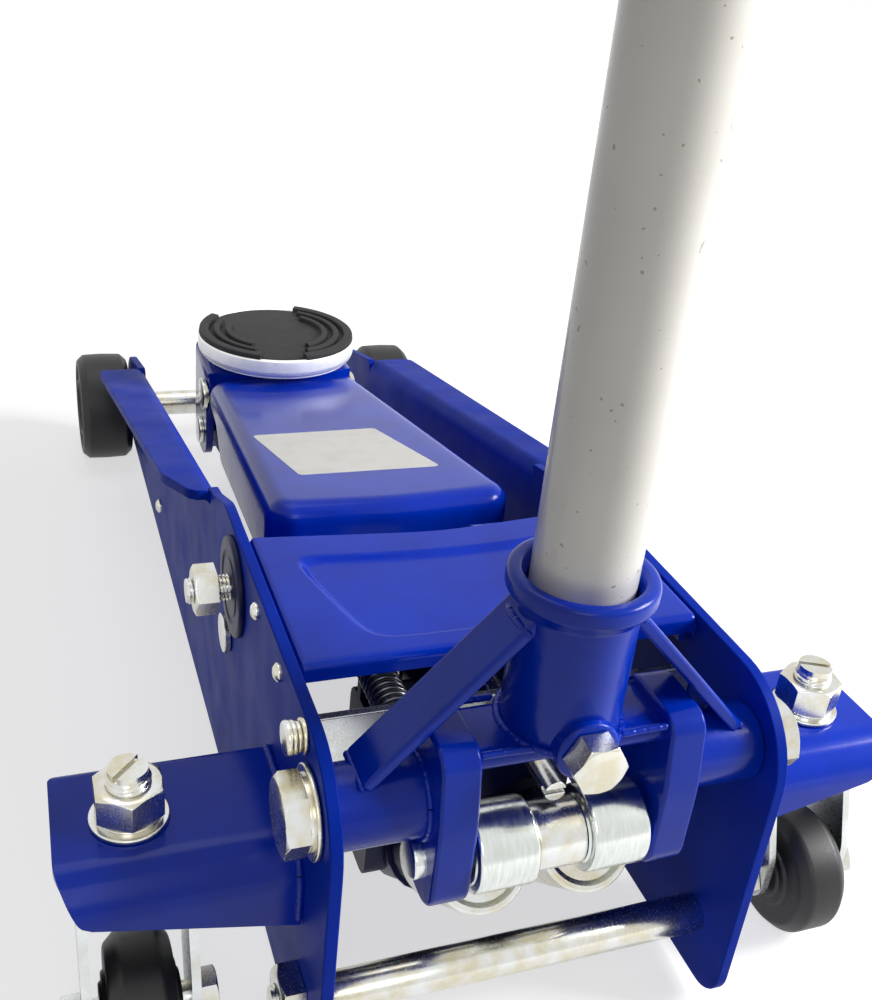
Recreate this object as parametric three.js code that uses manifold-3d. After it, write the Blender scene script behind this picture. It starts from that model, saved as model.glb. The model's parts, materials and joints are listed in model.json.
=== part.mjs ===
// Trolley jack: a rolling frame of two side plates, a pressed lift arm that is
// raised by a hydraulic ram, a level saddle, and a socket with a pump handle.
// Millimetres. X to the right, Y towards the saddle, Z up, wheels on Z = 0.
import * as THREE from 'three';
import { mergeVertices } from 'three/addons/utils/BufferGeometryUtils.js';
import Module from 'manifold-3d';

const wasm = await Module();
wasm.setup();

// Sizes
const gap = 0.3;
const overrun = 1;

// Side plates
const plateOuterX = 90;
const plateThickness = 5;
const plateRear = -25;
const plateBottom = 6;
const plateTop = 160;
const rearCornerRadius = 38;
const footRadius = 14;
const shoulderY = 172;
const shoulderRadius = 30;
const dipY = 202;
const dipZ = 149;
const dipRadius = 22;
const flangeEndY = 512;
const flangeEndZ = 89;
const noseRadius = 31;
const flangeWidth = 28;
const flangeHeelWidth = 19;
const flangeHeelLength = 34;
const flangeCorner = 7;
const flangeStart = 7;
const bendRadius = 9;
const bendDrop = 5;

// Front axle and wheels
const axleY = 559.5;
const wheelRadius = 40;
const wheelWidth = 36;
const wheelBevel = 5;
const axleRadius = 10;
const axleWasherRadius = 17;
const axleWasherThickness = 3;
const axleNutAcross = 26;
const axleNutThickness = 9;
const axleStub = 2;
const hubRadius = 19;
const hubDish = 13;
const hubDraft = 2;

// Rear tie rod
const tieRodZ = 35;
const tieRodRadius = 8.2;
const tieNutAcross = 27;
const tieNutThickness = 9;
const tieRodStub = 2.5;

// Handle socket and its pivot bolts
const pivotZ = 131;
const stubTubeRadius = 15.5;
const pivotShankRadius = 10;
const pivotShankDepth = 32;
const pivotHeadAcross = 27;
const pivotHeadThickness = 8.5;
const pivotWasherRadius = 17;
const pivotWasherThickness = 3.5;
const collarRadius = 26.5;
const collarTop = 219;
const collarHeight = 14;
const collarRound = 2.5;
const bodyRadius = 23;
const bodyBottom = 156;
const socketFloor = 166;
const cheekOffset = 44;
const cheekThickness = 15;
const cheekTop = 162;
const cheekBottom = 92;
const cheekRear = -23;
const cheekFront = 17;
const cheekHeelFront = -1;
const cheekWaist = 133;
const cheekRound = 9;
const webBottom = 149;
const webRear = -15;
const webFront = 14;
const braceWidth = 30;
const braceThickness = 5;
const braceRear = -9;
const braceTopX = 22;
const braceTopZ = 204;
const braceFootX = 76;
const braceFootZ = 146;
const clampAcross = 20;
const clampHeadThickness = 10;
const clampShankRadius = 6;
const clampZ = 160;
const clampBossRadius = 12;
const clampBossRear = -25;

// Pump rollers
const rollerPinY = -9;
const rollerPinZ = 109;
const rollerPinRadius = 7.5;
const rollerPinHalf = 56;
const rollerRadius = 16.5;
const rollerWidth = 25;
const spacerRadius = 12;
const spacerHalf = 9.7;
const pinClearance = 0.3;

// Pump caps
const capTilt = 40;
const capRadius = 20.3;
const capOffset = 22.5;
const capDrop = 7.5;
const capLength = 40;
const capWall = 2.6;
const capFace = 5;
const capRim = 2.4;
const capRimDepth = 1.6;
const capRestGap = 1;
const barrelRadius = 16.6;
const barrelRingRadius = 18.4;
const barrelRingWidth = 3;
const barrelRingPitch = 6;
const barrelReach = 26;
const barrelLap = 10;
const pistonRadius = 7;

// Power unit
const blockHalf = 47;
const blockRear = 60;
const blockFront = 98;
const blockBottom = 26;
const blockTop = 108;
const blockRound = 7;
const cylinderRadius = 21;
const cylinderFront = 104;
const cylinderZ = 101;
const cylinderRear = 44;
const blockTrunnionRadius = 12;
const trunnionZ = 70;
const ramRadius = 13;
const ramRear = 46;
const yokeHalf = 21;
const yokeLength = 26;
const yokeHeight = 32;
const yokeRound = 6;

// Release shaft
const releaseRadius = 4.5;
const releaseRear = -8;
const releaseZ = 128;
const releaseSlot = 1.8;
const releaseSlotDepth = 3;
const releaseCollarRadius = 7.5;
const releaseCollarLength = 6;
const releaseFit = 0.3;
const releaseEntry = 8;
const valveHalf = 10;
const valveLength = 16;
const valveCrown = 9;

// Return spring
const springX = -43;
const springZ = 126;
const springRear = 46;
const springLength = 38;
const springRadius = 8;
const springWire = 1.3;
const springTurns = 10;
const springPost = 5;
const barRear = 40;
const barThickness = 4;
const barHeight = 24;
const barRise = 113;

// Cover plate
const coverThickness = 3;
const coverRear = 44;
const coverFront = 139;
const coverBow = 13;
const coverLip = 8;
const coverGap = 0.4;
const coverRecess = 2.6;
const coverBand = 15;
const recessRearHalf = 52;
const recessFrontHalf = 68;
const recessRearY = 58;
const recessRound = 14;
const coverRound = 6;

// Lift arm
const armPivotY = 142;
const armPivotZ = 134;
const armShaftRadius = 14;
const armBossRadius = 23;
const armBossHeight = 2.5;
const armStudRadius = 6;
const armStudLength = 6;
const armNutAcross = 20;
const armNutThickness = 10;
const armRearY = 186;
const armRearTop = 147;
const armRearHalf = 65;
const armFrontBehind = 24;
const armFrontTop = 110;
const armFrontHalf = 52;
const armWall = 5;
const armEdgeRadius = 11;
const armTailRadius = 14;
const armTailBottom = 114;
const armRearBottom = 105;
const armBellyBehind = 83;
const armBellyZ = 80;
const armThroatBehind = 57;
const armThroatZ = 95;
const armBow = 4;
const armEarRadius = 20;
const armEarThickness = 6;
const armEarReach = 36;
const armLug = 36;
const armLugPin = 7;
const armLugAngle = -125;
const armLugWidth = 8;
const armLugRadius = 12;
const armLugHalf = 32;
const armSleeveRadius = 18;
const armLugGap = 1.5;
const armTravel = 70;

// Saddle and its bracket
const saddleReach = 455;
const saddlePinZ = 92;
const saddlePinRadius = 8;
const saddleAhead = 10.5;
const saddleRise = 112;
const bracketHalf = 51;
const bracketWall = 5;
const bracketBehind = 18;
const bracketAhead = 59;
const bracketCorner = 16;
const bracketSkirt = 97;
const bracketEar = 17;
const bracketEdge = 6;
const armForkHalf = 37;
const armForkThickness = 6;
const armForkRadius = 13;
const armForkLength = 103;
const armForkNeck = 18;
const cupRadius = 54;
const cupHeight = 18.5;
const cupWall = 3;
const cupFloor = 5;
const cupSeat = 36;
const cupRise = 7.5;
const cupStemRadius = 12;
const cupStemLength = 11;
const padRadius = 50.4;
const padTop = 134;
const padRibHeight = 3;
const padRibWidth = 4;
const padRibPitch = 9;
const padRibs = 3;
const padChannel = 22;
const padChannelAngle = -38;

// Radius rods
const rodOffsetY = 14;
const rodOffsetZ = -34;
const rodX = 42;
const rodThickness = 5;
const rodHalfDepth = 8;
const rodEyeRadius = 13;
const rodPinRadius = 6.5;
const rodPinHead = 9.5;
const rodPinHeadThickness = 3;

// Rear casters
const wingHalf = 176;
const wingTop = 106;
const wingFront = 69;
const wingBend = 16;
const wingFootY = 5;
const wingFootZ = 70;
const wingCreaseZ = 95;
const wingTipZ = 88;
const wingThickness = 5;
const wingCorner = 16;
const wingTaper = 8;
const wingLip = 12;
const kingInset = 28;
const kingY = 38;
const kingRadius = 8.4;
const kingNutAcross = 24;
const kingNutThickness = 13;
const kingTop = 128;
const kingSlot = 2.4;
const kingSlotDepth = 4;
const kingWasherRadius = 14.6;
const kingWasherThickness = 3.5;
const kingFlange = 4;
const kingFlangeRadius = 14;
const raceRadius = 17;
const forkTop = 92;
const forkTrail = 20;
const forkThickness = 3.5;
const forkHeadRadius = 24;
const forkHeadThickness = 4;
const forkLegHalf = 13;
const forkHeel = 10;
const forkKnee = 45;
const casterRadius = 29;
const casterWidth = 30;
const casterRound = 5;
const casterHubRadius = 15;
const casterAxleRadius = 6;
const casterNutAcross = 17;
const casterNutThickness = 6;

// Handle
const tubeRadius = 19;
const socketFit = 0.35;
const lowerTubeTop = 640;
const upperTubeRadius = 16;
const upperTubeBottom = 560;
const upperTubeTop = 1085;
const tubeWall = 2.2;
const gripRadius = 20;
const gripLength = 140;
const gripCrown = 6;
const gripRibs = 7;
const gripRibPitch = 14;
const gripRibDepth = 1.6;
const gripRibWidth = 5;
const buttonRadius = 5;
const buttonHeight = 2.4;
const buttonZ = 610;
const upperTubeGap = 0.5;

// Places worked out from the sizes
const noseY = axleY + noseRadius;
const saddleY = saddleReach + saddleAhead;
const bracketRear = saddleReach - bracketBehind;
const bracketFront = saddleReach + bracketAhead;
const armFrontY = saddleReach - armFrontBehind;
const armBellyY = saddleReach - armBellyBehind;
const armThroatY = saddleReach - armThroatBehind;
const armForkRear = saddleReach - armForkLength;
const kingX = wingHalf - kingInset;
const gripBottom = upperTubeTop - gripLength;
const rearmost = clampBossRear - gap - clampHeadThickness;
const foremost = axleY + wheelRadius;
const midY = (rearmost + foremost) / 2;
const innerHalf = plateOuterX - plateThickness;
const armLow = Math.atan2(saddlePinZ - armPivotZ, saddleReach - armPivotY);
const flangeAngle = Math.atan2(flangeEndZ - dipZ, flangeEndY - dipY);
const capCos = Math.cos(THREE.MathUtils.degToRad(capTilt));
const capSin = Math.sin(THREE.MathUtils.degToRad(capTilt));
const lugRest = THREE.MathUtils.degToRad(armLugAngle);

// Materials
const finish = (color, roughness, metalness) => ({ color, roughness, metalness });
const paint = finish(0x1226c4, 0.28, 0.15);
const darkPaint = finish(0x0b1666, 0.4, 0.15);
const zinc = finish(0xc9c9c2, 0.32, 0.9);
const brightSteel = finish(0xd9dbdc, 0.25, 0.95);
const black = finish(0x141416, 0.6, 0);
const rubber = finish(0x1b1b1d, 0.85, 0);
const white = finish(0xe9e7e0, 0.35, 0.05);
const springSteel = finish(0x77797c, 0.4, 0.8);

const group = new THREE.Group();

// Helpers

// Turns a closed geometry into a solid whose faces point out.
function solid(geometry) {
  const bare = geometry.index ? geometry.toNonIndexed() : geometry.clone();
  for (const name of Object.keys(bare.attributes)) {
    if (name !== 'position') bare.deleteAttribute(name);
  }
  const merged = mergeVertices(bare, 1e-4);
  const vertices = Float32Array.from(merged.attributes.position.array);
  const triangles = [];
  const index = merged.index.array;
  for (let i = 0; i < index.length; i += 3) {
    const [a, b, c] = [index[i], index[i + 1], index[i + 2]];
    if (a !== b && b !== c && a !== c) triangles.push(a, b, c);
  }
  const at = (i) => new THREE.Vector3().fromArray(vertices, 3 * i);
  let volume = 0;
  for (let i = 0; i < triangles.length; i += 3) {
    volume += at(triangles[i]).dot(at(triangles[i + 1]).cross(at(triangles[i + 2])));
  }
  if (volume < 0) {
    for (let i = 0; i < triangles.length; i += 3) {
      [triangles[i], triangles[i + 1]] = [triangles[i + 1], triangles[i]];
    }
  }
  return new wasm.Manifold(new wasm.Mesh({
    numProp: 3,
    vertProperties: vertices,
    triVerts: Uint32Array.from(triangles),
  }));
}

const fuse = (first, ...others) => others.reduce((sum, other) => sum.add(other), first);
const cut = (first, ...others) => others.reduce((rest, other) => rest.subtract(other), first);

// Adds one named piece to the group.
function piece(name, body, look) {
  const mesh = body.getMesh();
  const geometry = new THREE.BufferGeometry();
  const positions = new Float32Array(mesh.vertProperties);
  geometry.setAttribute('position', new THREE.BufferAttribute(positions, 3));
  geometry.setIndex(new THREE.BufferAttribute(new Uint32Array(mesh.triVerts), 1));
  const flat = geometry.toNonIndexed();
  flat.computeVertexNormals();
  const node = new THREE.Mesh(flat, new THREE.MeshStandardMaterial(look));
  node.name = name;
  node.position.y = -midY;
  group.add(node);
  return node;
}

// Outline through corners [x, y, radius], each rounded by a true arc.
function outline(corners, arcSteps = 4) {
  const points = [];
  corners.forEach(([x, y, radius = 0], i) => {
    const here = new THREE.Vector2(x, y);
    const [px, py] = corners[(i + corners.length - 1) % corners.length];
    const [nx, ny] = corners[(i + 1) % corners.length];
    const back = new THREE.Vector2(px, py).sub(here);
    const ahead = new THREE.Vector2(nx, ny).sub(here);
    if (radius === 0) {
      points.push(here);
      return;
    }
    const reach = Math.min(back.length(), ahead.length()) / 2;
    back.normalize();
    ahead.normalize();
    const half = Math.acos(THREE.MathUtils.clamp(back.dot(ahead), -1, 1)) / 2;
    const tangent = Math.min(radius / Math.tan(half), reach);
    const arc = tangent * Math.tan(half);
    const centre = back.clone().add(ahead).normalize().multiplyScalar(arc / Math.sin(half)).add(here);
    const from = here.clone().addScaledVector(back, tangent).sub(centre);
    const to = here.clone().addScaledVector(ahead, tangent).sub(centre);
    const sweep = Math.atan2(from.cross(to), from.dot(to));
    for (let k = 0; k <= arcSteps; k += 1) {
      const turned = from.clone().rotateAround(new THREE.Vector2(), sweep * k / arcSteps);
      points.push(turned.add(centre));
    }
  });
  return new THREE.Shape(points);
}

function disc(radius, sides = 18, x = 0, y = 0, start = 0) {
  const points = [];
  for (let i = 0; i < sides; i += 1) {
    const angle = start + 2 * Math.PI * i / sides;
    points.push(new THREE.Vector2(x + radius * Math.cos(angle), y + radius * Math.sin(angle)));
  }
  return new THREE.Shape(points);
}

const hexagon = (across, x = 0, y = 0, start = 0) => disc(across / Math.sqrt(3), 6, x, y, start);

const extrude = (shape, depth) => new THREE.ExtrudeGeometry(shape, {
  depth,
  bevelEnabled: false,
  curveSegments: 24,
});

// A shape drawn in (Y, Z), (X, Z) or (X, Y), stretched between two places on the third axis.
function alongX(shape, from, to) {
  const swap = new THREE.Matrix4().set(0, 0, 1, from, 1, 0, 0, 0, 0, 1, 0, 0, 0, 0, 0, 1);
  return solid(extrude(shape, to - from).applyMatrix4(swap));
}

function alongY(shape, from, to) {
  const swap = new THREE.Matrix4().set(1, 0, 0, 0, 0, 0, -1, to, 0, 1, 0, 0, 0, 0, 0, 1);
  return solid(extrude(shape, to - from).applyMatrix4(swap));
}

function alongZ(shape, from, to) {
  return solid(extrude(shape, to - from).translate(0, 0, from));
}

const rodX3 = (radius, from, to, y, z, sides = 18) => alongX(disc(radius, sides, y, z), from, to);
const rodY3 = (radius, from, to, x, z, sides = 18) => alongY(disc(radius, sides, x, z), from, to);
const rodZ3 = (radius, from, to, x, y, sides = 18) => alongZ(disc(radius, sides, x, y), from, to);

function block(x0, x1, y0, y1, z0, z1) {
  const box = new THREE.BoxGeometry(x1 - x0, y1 - y0, z1 - z0);
  return solid(box.translate((x0 + x1) / 2, (y0 + y1) / 2, (z0 + z1) / 2));
}

// A turned body: profile points [radius, height] about an axis through a place.
function turned(profile, axis, place, sides = 20) {
  const lathe = new THREE.LatheGeometry(profile.map(([r, h]) => new THREE.Vector2(r, h)), sides);
  const up = new THREE.Vector3(0, 1, 0);
  const turn = new THREE.Quaternion().setFromUnitVectors(up, axis.clone().normalize());
  return solid(lathe.applyQuaternion(turn).translate(place.x, place.y, place.z));
}

const vec = (x, y, z) => new THREE.Vector3(x, y, z);
const axisX = vec(1, 0, 0);
const axisY = vec(0, 1, 0);
const axisZ = vec(0, 0, 1);

// A closed skin over a row of closed rings, each ring with as many points, flat at both ends.
function loft(rings, flatten) {
  const count = rings[0].length;
  const positions = rings.flat().flatMap((p) => [p.x, p.y, p.z]);
  const index = [];
  for (let r = 0; r + 1 < rings.length; r += 1) {
    for (let i = 0; i < count; i += 1) {
      const a = r * count + i;
      const b = r * count + (i + 1) % count;
      index.push(a, b, a + count, b, b + count, a + count);
    }
  }
  const last = (rings.length - 1) * count;
  const ends = THREE.ShapeUtils.triangulateShape(rings[0].map(flatten), []);
  for (const [a, b, c] of ends) {
    index.push(a, c, b);
    index.push(last + a, last + b, last + c);
  }
  const geometry = new THREE.BufferGeometry();
  geometry.setAttribute('position', new THREE.Float32BufferAttribute(positions, 3));
  geometry.setIndex(index);
  return solid(geometry);
}

const turnAboutX = (body, angle, y, z) => body
  .translate([0, -y, -z])
  .rotate([THREE.MathUtils.radToDeg(angle), 0, 0])
  .translate([0, y, z]);

const mirrorX = (body) => body.mirror([1, 0, 0]);

// Each side piece is made on the right and mirrored for the left.
function sidePieces(name, body, look) {
  piece(`${name}_right`, body, look);
  piece(`${name}_left`, mirrorX(body), look);
}

// Side plates

// The bent flange that stiffens the plate's sloping top edge, drawn along that slope.
function topFlange() {
  const length = Math.hypot(flangeEndY - dipY, flangeEndZ - dipZ);
  const innerRadius = bendRadius - plateThickness;
  const centreX = innerHalf + bendRadius;
  const section = [];
  const arcSteps = 4;
  section.push([innerHalf, -bendRadius - bendDrop]);
  section.push([plateOuterX, -bendRadius - bendDrop]);
  for (let k = 0; k <= arcSteps; k += 1) {
    const angle = Math.PI - (Math.PI / 2) * k / arcSteps;
    section.push([centreX + innerRadius * Math.cos(angle), -bendRadius + innerRadius * Math.sin(angle)]);
  }
  section.push([plateOuterX + flangeWidth + overrun, -plateThickness]);
  section.push([plateOuterX + flangeWidth + overrun, 0]);
  for (let k = 0; k <= arcSteps; k += 1) {
    const angle = Math.PI / 2 + (Math.PI / 2) * k / arcSteps;
    section.push([centreX + bendRadius * Math.cos(angle), -bendRadius + bendRadius * Math.sin(angle)]);
  }
  const sheet = alongY(outline(section.map(([x, z]) => [x, z])), flangeStart, length);
  const plan = alongZ(outline([
    [innerHalf - overrun, flangeStart],
    [centreX, flangeStart, flangeCorner],
    [plateOuterX + flangeHeelWidth, flangeStart + flangeHeelLength, flangeHeelLength],
    [plateOuterX + flangeWidth, length, flangeCorner],
    [innerHalf - overrun, length],
  ]), -bendRadius - bendDrop - overrun, overrun);
  const corner = block(innerHalf - overrun, plateOuterX + overrun, flangeStart, length,
    -bendRadius, bendRadius);
  const onSlope = (body) => turnAboutX(body.translate([0, dipY, dipZ]), flangeAngle, dipY, dipZ);
  return { sheet: onSlope(sheet.intersect(plan)), corner: onSlope(corner) };
}

function sidePlate() {
  const axleZ = wheelRadius;
  const web = alongX(outline([
    [plateRear, plateBottom, footRadius],
    [noseY, axleZ - noseRadius, noseRadius],
    [noseY, axleZ + noseRadius, noseRadius],
    [flangeEndY, flangeEndZ, flangeCorner],
    [dipY, dipZ, dipRadius],
    [shoulderY, plateTop, shoulderRadius],
    [plateRear, plateTop, rearCornerRadius],
  ], 5), innerHalf, plateOuterX);
  const { sheet, corner } = topFlange();
  const hole = (radius, y, z) => rodX3(radius, innerHalf - overrun, plateOuterX + overrun, y, z);
  return cut(
    fuse(cut(web, corner), sheet),
    hole(axleRadius + gap, axleY, axleZ),
    hole(tieRodRadius + gap, 0, tieRodZ),
    hole(pivotShankRadius + gap, 0, pivotZ),
    hole(armShaftRadius + gap, armPivotY, armPivotZ),
    hole(rodPinRadius + gap, armPivotY + rodOffsetY, armPivotZ + rodOffsetZ),
    hole(blockTrunnionRadius + gap, (blockRear + blockFront) / 2, trunnionZ),
  );
}

// Axle, wheels, tie rod

const ring = (shape, hole) => {
  shape.holes.push(new THREE.Path(hole.getPoints()));
  return shape;
};

function frontWheel() {
  const bore = axleRadius + gap;
  const inner = plateOuterX + gap + axleWasherThickness + gap;
  const outer = inner + wheelWidth;
  const wheel = turned([
    [bore, 0],
    [wheelRadius - wheelBevel, 0],
    [wheelRadius, wheelBevel],
    [wheelRadius, wheelWidth - wheelBevel],
    [wheelRadius - wheelBevel, wheelWidth],
    [hubRadius, wheelWidth],
    [hubRadius - hubDraft, wheelWidth - hubDish],
    [bore, wheelWidth - hubDish],
    [bore, 0],
  ], axisX, vec(inner, axleY, wheelRadius), 24);
  return { wheel, nutFrom: outer - hubDish + gap };
}

function frontEnd() {
  const { wheel, nutFrom } = frontWheel();
  const washerFrom = plateOuterX + gap;
  const washer = alongX(ring(disc(axleWasherRadius, 16, axleY, wheelRadius),
    disc(axleRadius + gap, 16, axleY, wheelRadius)), washerFrom, washerFrom + axleWasherThickness);
  const nut = alongX(ring(hexagon(axleNutAcross, axleY, wheelRadius),
    disc(axleRadius + gap, 16, axleY, wheelRadius)), nutFrom, nutFrom + axleNutThickness);
  const half = nutFrom + axleNutThickness + axleStub;
  piece('front_axle', rodX3(axleRadius, -half, half, axleY, wheelRadius), zinc);
  sidePieces('front_wheel', wheel, black);
  sidePieces('front_axle_washer', washer, zinc);
  sidePieces('front_axle_nut', nut, zinc);
}

function tieRod() {
  const from = plateOuterX + gap;
  const half = from + tieNutThickness + tieRodStub;
  piece('tie_rod', rodX3(tieRodRadius, -half, half, 0, tieRodZ, 16), zinc);
  sidePieces('tie_rod_nut', alongX(ring(hexagon(tieNutAcross, 0, tieRodZ),
    disc(tieRodRadius + gap, 16, 0, tieRodZ)), from, from + tieNutThickness), zinc);
}

// Socket, bolts, rollers

// A washer-faced hexagon head whose shank carries the socket's stub tube.
function pivotBolt() {
  const seat = plateOuterX + gap;
  const headFrom = seat + pivotWasherThickness;
  const headEnd = headFrom + pivotHeadThickness;
  const dome = turned([
    [0, 0],
    [pivotHeadAcross / Math.sqrt(3), 0],
    [pivotHeadAcross / Math.sqrt(3), pivotHeadThickness - pivotHeadThickness / 5],
    [pivotHeadAcross / 2 - pivotHeadThickness / 12, pivotHeadThickness],
    [0, pivotHeadThickness],
  ], axisX, vec(headFrom, 0, pivotZ), 22);
  const head = alongX(hexagon(pivotHeadAcross, 0, pivotZ), headFrom, headEnd).intersect(dome);
  return fuse(
    rodX3(pivotWasherRadius, seat, headFrom, 0, pivotZ, 22),
    head,
    rodX3(pivotShankRadius, innerHalf - pivotShankDepth, headFrom, 0, pivotZ),
  );
}

function brace() {
  const run = braceFootX - braceTopX;
  const drop = braceTopZ - braceFootZ;
  const length = Math.hypot(run, drop);
  const offsetX = braceThickness * drop / length;
  const offsetZ = braceThickness * run / length;
  const section = new THREE.Shape([
    new THREE.Vector2(braceTopX, braceTopZ),
    new THREE.Vector2(braceTopX - offsetX, braceTopZ - offsetZ),
    new THREE.Vector2(braceFootX - offsetX, braceFootZ - offsetZ),
    new THREE.Vector2(braceFootX, braceFootZ),
  ]);
  return alongY(section, braceRear, braceRear + braceWidth);
}

function handleSocket() {
  const cheekIn = cheekOffset - cheekThickness / 2;
  const cheekOut = cheekOffset + cheekThickness / 2;
  const sleeve = turned([
    [0, bodyBottom],
    [bodyRadius, bodyBottom],
    [bodyRadius, collarTop - collarHeight - collarRound],
    [collarRadius - collarRound / 2, collarTop - collarHeight],
    [collarRadius, collarTop - collarHeight + collarRound],
    [collarRadius, collarTop - collarRound],
    [collarRadius - collarRound, collarTop],
    [0, collarTop],
  ].map(([r, z]) => [r, z]), axisZ, vec(0, 0, 0), 24);
  const cheek = alongX(outline([
    [cheekRear + cheekRound / 2, cheekTop, cheekRound],
    [cheekRear, cheekWaist, cheekTop - cheekBottom],
    [cheekRear, cheekBottom, cheekRound * 2],
    [cheekHeelFront, cheekBottom, cheekRound],
    [cheekFront, cheekWaist, cheekTop - cheekBottom],
    [cheekFront, cheekTop, cheekRound],
  ]), cheekIn, cheekOut);
  const tube = rodX3(stubTubeRadius, cheekOut - overrun, innerHalf - gap, 0, pivotZ);
  const half = fuse(cheek, tube, brace());
  const web = alongX(outline([
    [webRear, webBottom, cheekRound / 2],
    [webFront, webBottom, cheekRound / 2],
    [webFront, cheekTop - cheekRound / 2, cheekRound / 2],
    [webRear, cheekTop - cheekRound / 2, cheekRound / 2],
  ]), -cheekIn - overrun, cheekIn + overrun);
  const boss = rodY3(clampBossRadius, clampBossRear, 0, 0, clampZ, 14)
    .intersect(block(-clampBossRadius - overrun, clampBossRadius + overrun,
      clampBossRear - overrun, 0, webBottom - overrun, clampZ + clampBossRadius + overrun));
  const body = fuse(sleeve, web, boss, half, mirrorX(half));
  const shankBore = rodX3(pivotShankRadius + gap, innerHalf - pivotShankDepth - gap,
    innerHalf + overrun, 0, pivotZ);
  return cut(
    body,
    rodZ3(tubeRadius + socketFit, socketFloor, collarTop + overrun, 0, 0, 24),
    shankBore,
    mirrorX(shankBore),
    rodX3(rollerPinRadius + pinClearance, -cheekOut - overrun, cheekOut + overrun,
      rollerPinY, rollerPinZ),
    rodY3(clampShankRadius + gap, clampBossRear - overrun, 0, 0, clampZ, 12),
  );
}

function clampBolt() {
  const headEnd = clampBossRear - gap;
  const headStart = headEnd - clampHeadThickness;
  const tip = -tubeRadius - socketFit;
  return fuse(
    alongY(hexagon(clampAcross, 0, clampZ), headStart, headEnd),
    rodY3(clampShankRadius, headEnd - overrun, Math.min(tip, webRear), 0, clampZ, 12),
  );
}

function rollerSet() {
  const bore = rollerPinRadius + pinClearance;
  const sleeve = (radius, from, to) => alongX(ring(disc(radius, 20, rollerPinY, rollerPinZ),
    disc(bore, 20, rollerPinY, rollerPinZ)), from, to);
  const from = spacerHalf + gap;
  piece('roller_pin', rodX3(rollerPinRadius, -rollerPinHalf, rollerPinHalf, rollerPinY, rollerPinZ),
    brightSteel);
  piece('roller_spacer', sleeve(spacerRadius, -spacerHalf, spacerHalf), zinc);
  sidePieces('pump_roller', sleeve(rollerRadius, from, from + rollerWidth), brightSteel);
}

// Pump and power unit

const capAxis = vec(0, capCos, -capSin);
const capSlope = vec(0, capSin, capCos);

// Where the cap's face is centred: clear of the roller by the rest gap, and lower down its face.
const capPlace = vec(0, rollerPinY, rollerPinZ)
  .addScaledVector(capAxis, rollerRadius + capRestGap)
  .addScaledVector(capSlope, -capDrop);

function pumpCap() {
  const mouth = capRadius - capWall;
  const lapEnd = capLength + barrelLap;
  const cup = turned([
    [0, capRimDepth],
    [capRadius - capRim - capRimDepth, capRimDepth],
    [capRadius - capRim, 0],
    [capRadius - capRimDepth / 2, 0],
    [capRadius, capRimDepth / 2],
    [capRadius, capLength],
    [mouth, capLength],
    [mouth, capFace],
    [pistonRadius, capFace],
    [pistonRadius, lapEnd],
    [0, lapEnd],
  ], capAxis, capPlace.clone().setX(capOffset), 20);
  return cup;
}

function pumpBarrel(x) {
  const from = capLength - barrelLap;
  const stroke = from + barrelReach + barrelLap;
  const ringAt = (k) => stroke + k * barrelRingPitch;
  const deep = stroke + barrelRingPitch * 2;
  const reach = deep + barrelReach;
  return turned([
    [pistonRadius + gap, from],
    [barrelRadius, from],
    [barrelRadius, ringAt(0)],
    [barrelRingRadius, ringAt(0)],
    [barrelRingRadius, ringAt(0) + barrelRingWidth],
    [barrelRadius, ringAt(0) + barrelRingWidth],
    [barrelRadius, reach],
    [0, reach],
    [0, deep],
    [pistonRadius + gap, deep],
    [pistonRadius + gap, from],
  ], capAxis, capPlace.clone().setX(x), 18);
}

function powerUnit() {
  const middle = (blockRear + blockFront) / 2;
  const housing = alongX(outline([
    [blockRear, blockBottom, blockRound],
    [blockFront, blockBottom, blockRound],
    [blockFront, blockTop, blockRound],
    [blockRear, blockTop, blockRound],
  ], 3), -blockHalf, blockHalf);
  const cylinder = rodY3(cylinderRadius, cylinderRear, cylinderFront, 0, cylinderZ, 24);
  const trunnion = rodX3(blockTrunnionRadius, -plateOuterX, plateOuterX, middle, trunnionZ);
  const valveY = middle;
  const valve = alongY(outline([
    [-valveHalf, blockTop - blockRound],
    [valveHalf, blockTop - blockRound],
    [valveHalf, releaseZ + valveCrown, valveHalf / 2],
    [-valveHalf, releaseZ + valveCrown, valveHalf / 2],
  ], 3), valveY - valveLength / 2, valveY + valveLength / 2);
  const springEnd = springRear + springLength;
  const post = block(springX - springPost, -blockHalf + blockRound + springPost,
    springEnd + gap, springEnd + gap + springPost, blockTop - blockRound, springZ + springRadius);
  const solidBlock = fuse(housing, cylinder, trunnion, valve,
    post.intersect(block(-blockHalf, 0, 0, blockFront, 0, plateTop)));
  const bores = cut(
    solidBlock,
    rodY3(ramRadius + gap, ramRear - gap, cylinderFront + overrun, 0, cylinderZ, 24),
    rodY3(releaseRadius + releaseFit, valveY - valveLength / 2 - overrun,
      valveY - valveLength / 2 + releaseEntry + gap, 0, releaseZ, 12),
  );
  const mouth = (x) => turned([
    [0, 0],
    [capRadius + capWall, 0],
    [capRadius + capWall, capLength + barrelReach],
    [0, capLength + barrelReach],
  ], capAxis, capPlace.clone().setX(x), 18);
  const barrels = [capOffset, -capOffset];
  return fuse(cut(bores, ...barrels.map(mouth)), ...barrels.map((x) => cut(
    pumpBarrel(x),
    rodY3(ramRadius + gap, ramRear - gap, cylinderFront + overrun, 0, cylinderZ, 24),
  )));
}

// Rest place of the pin that the ram's slotted yoke pushes.
const lugPinY = armPivotY + armLug * Math.cos(lugRest);
const lugPinZ = armPivotZ + armLug * Math.sin(lugRest);

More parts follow.
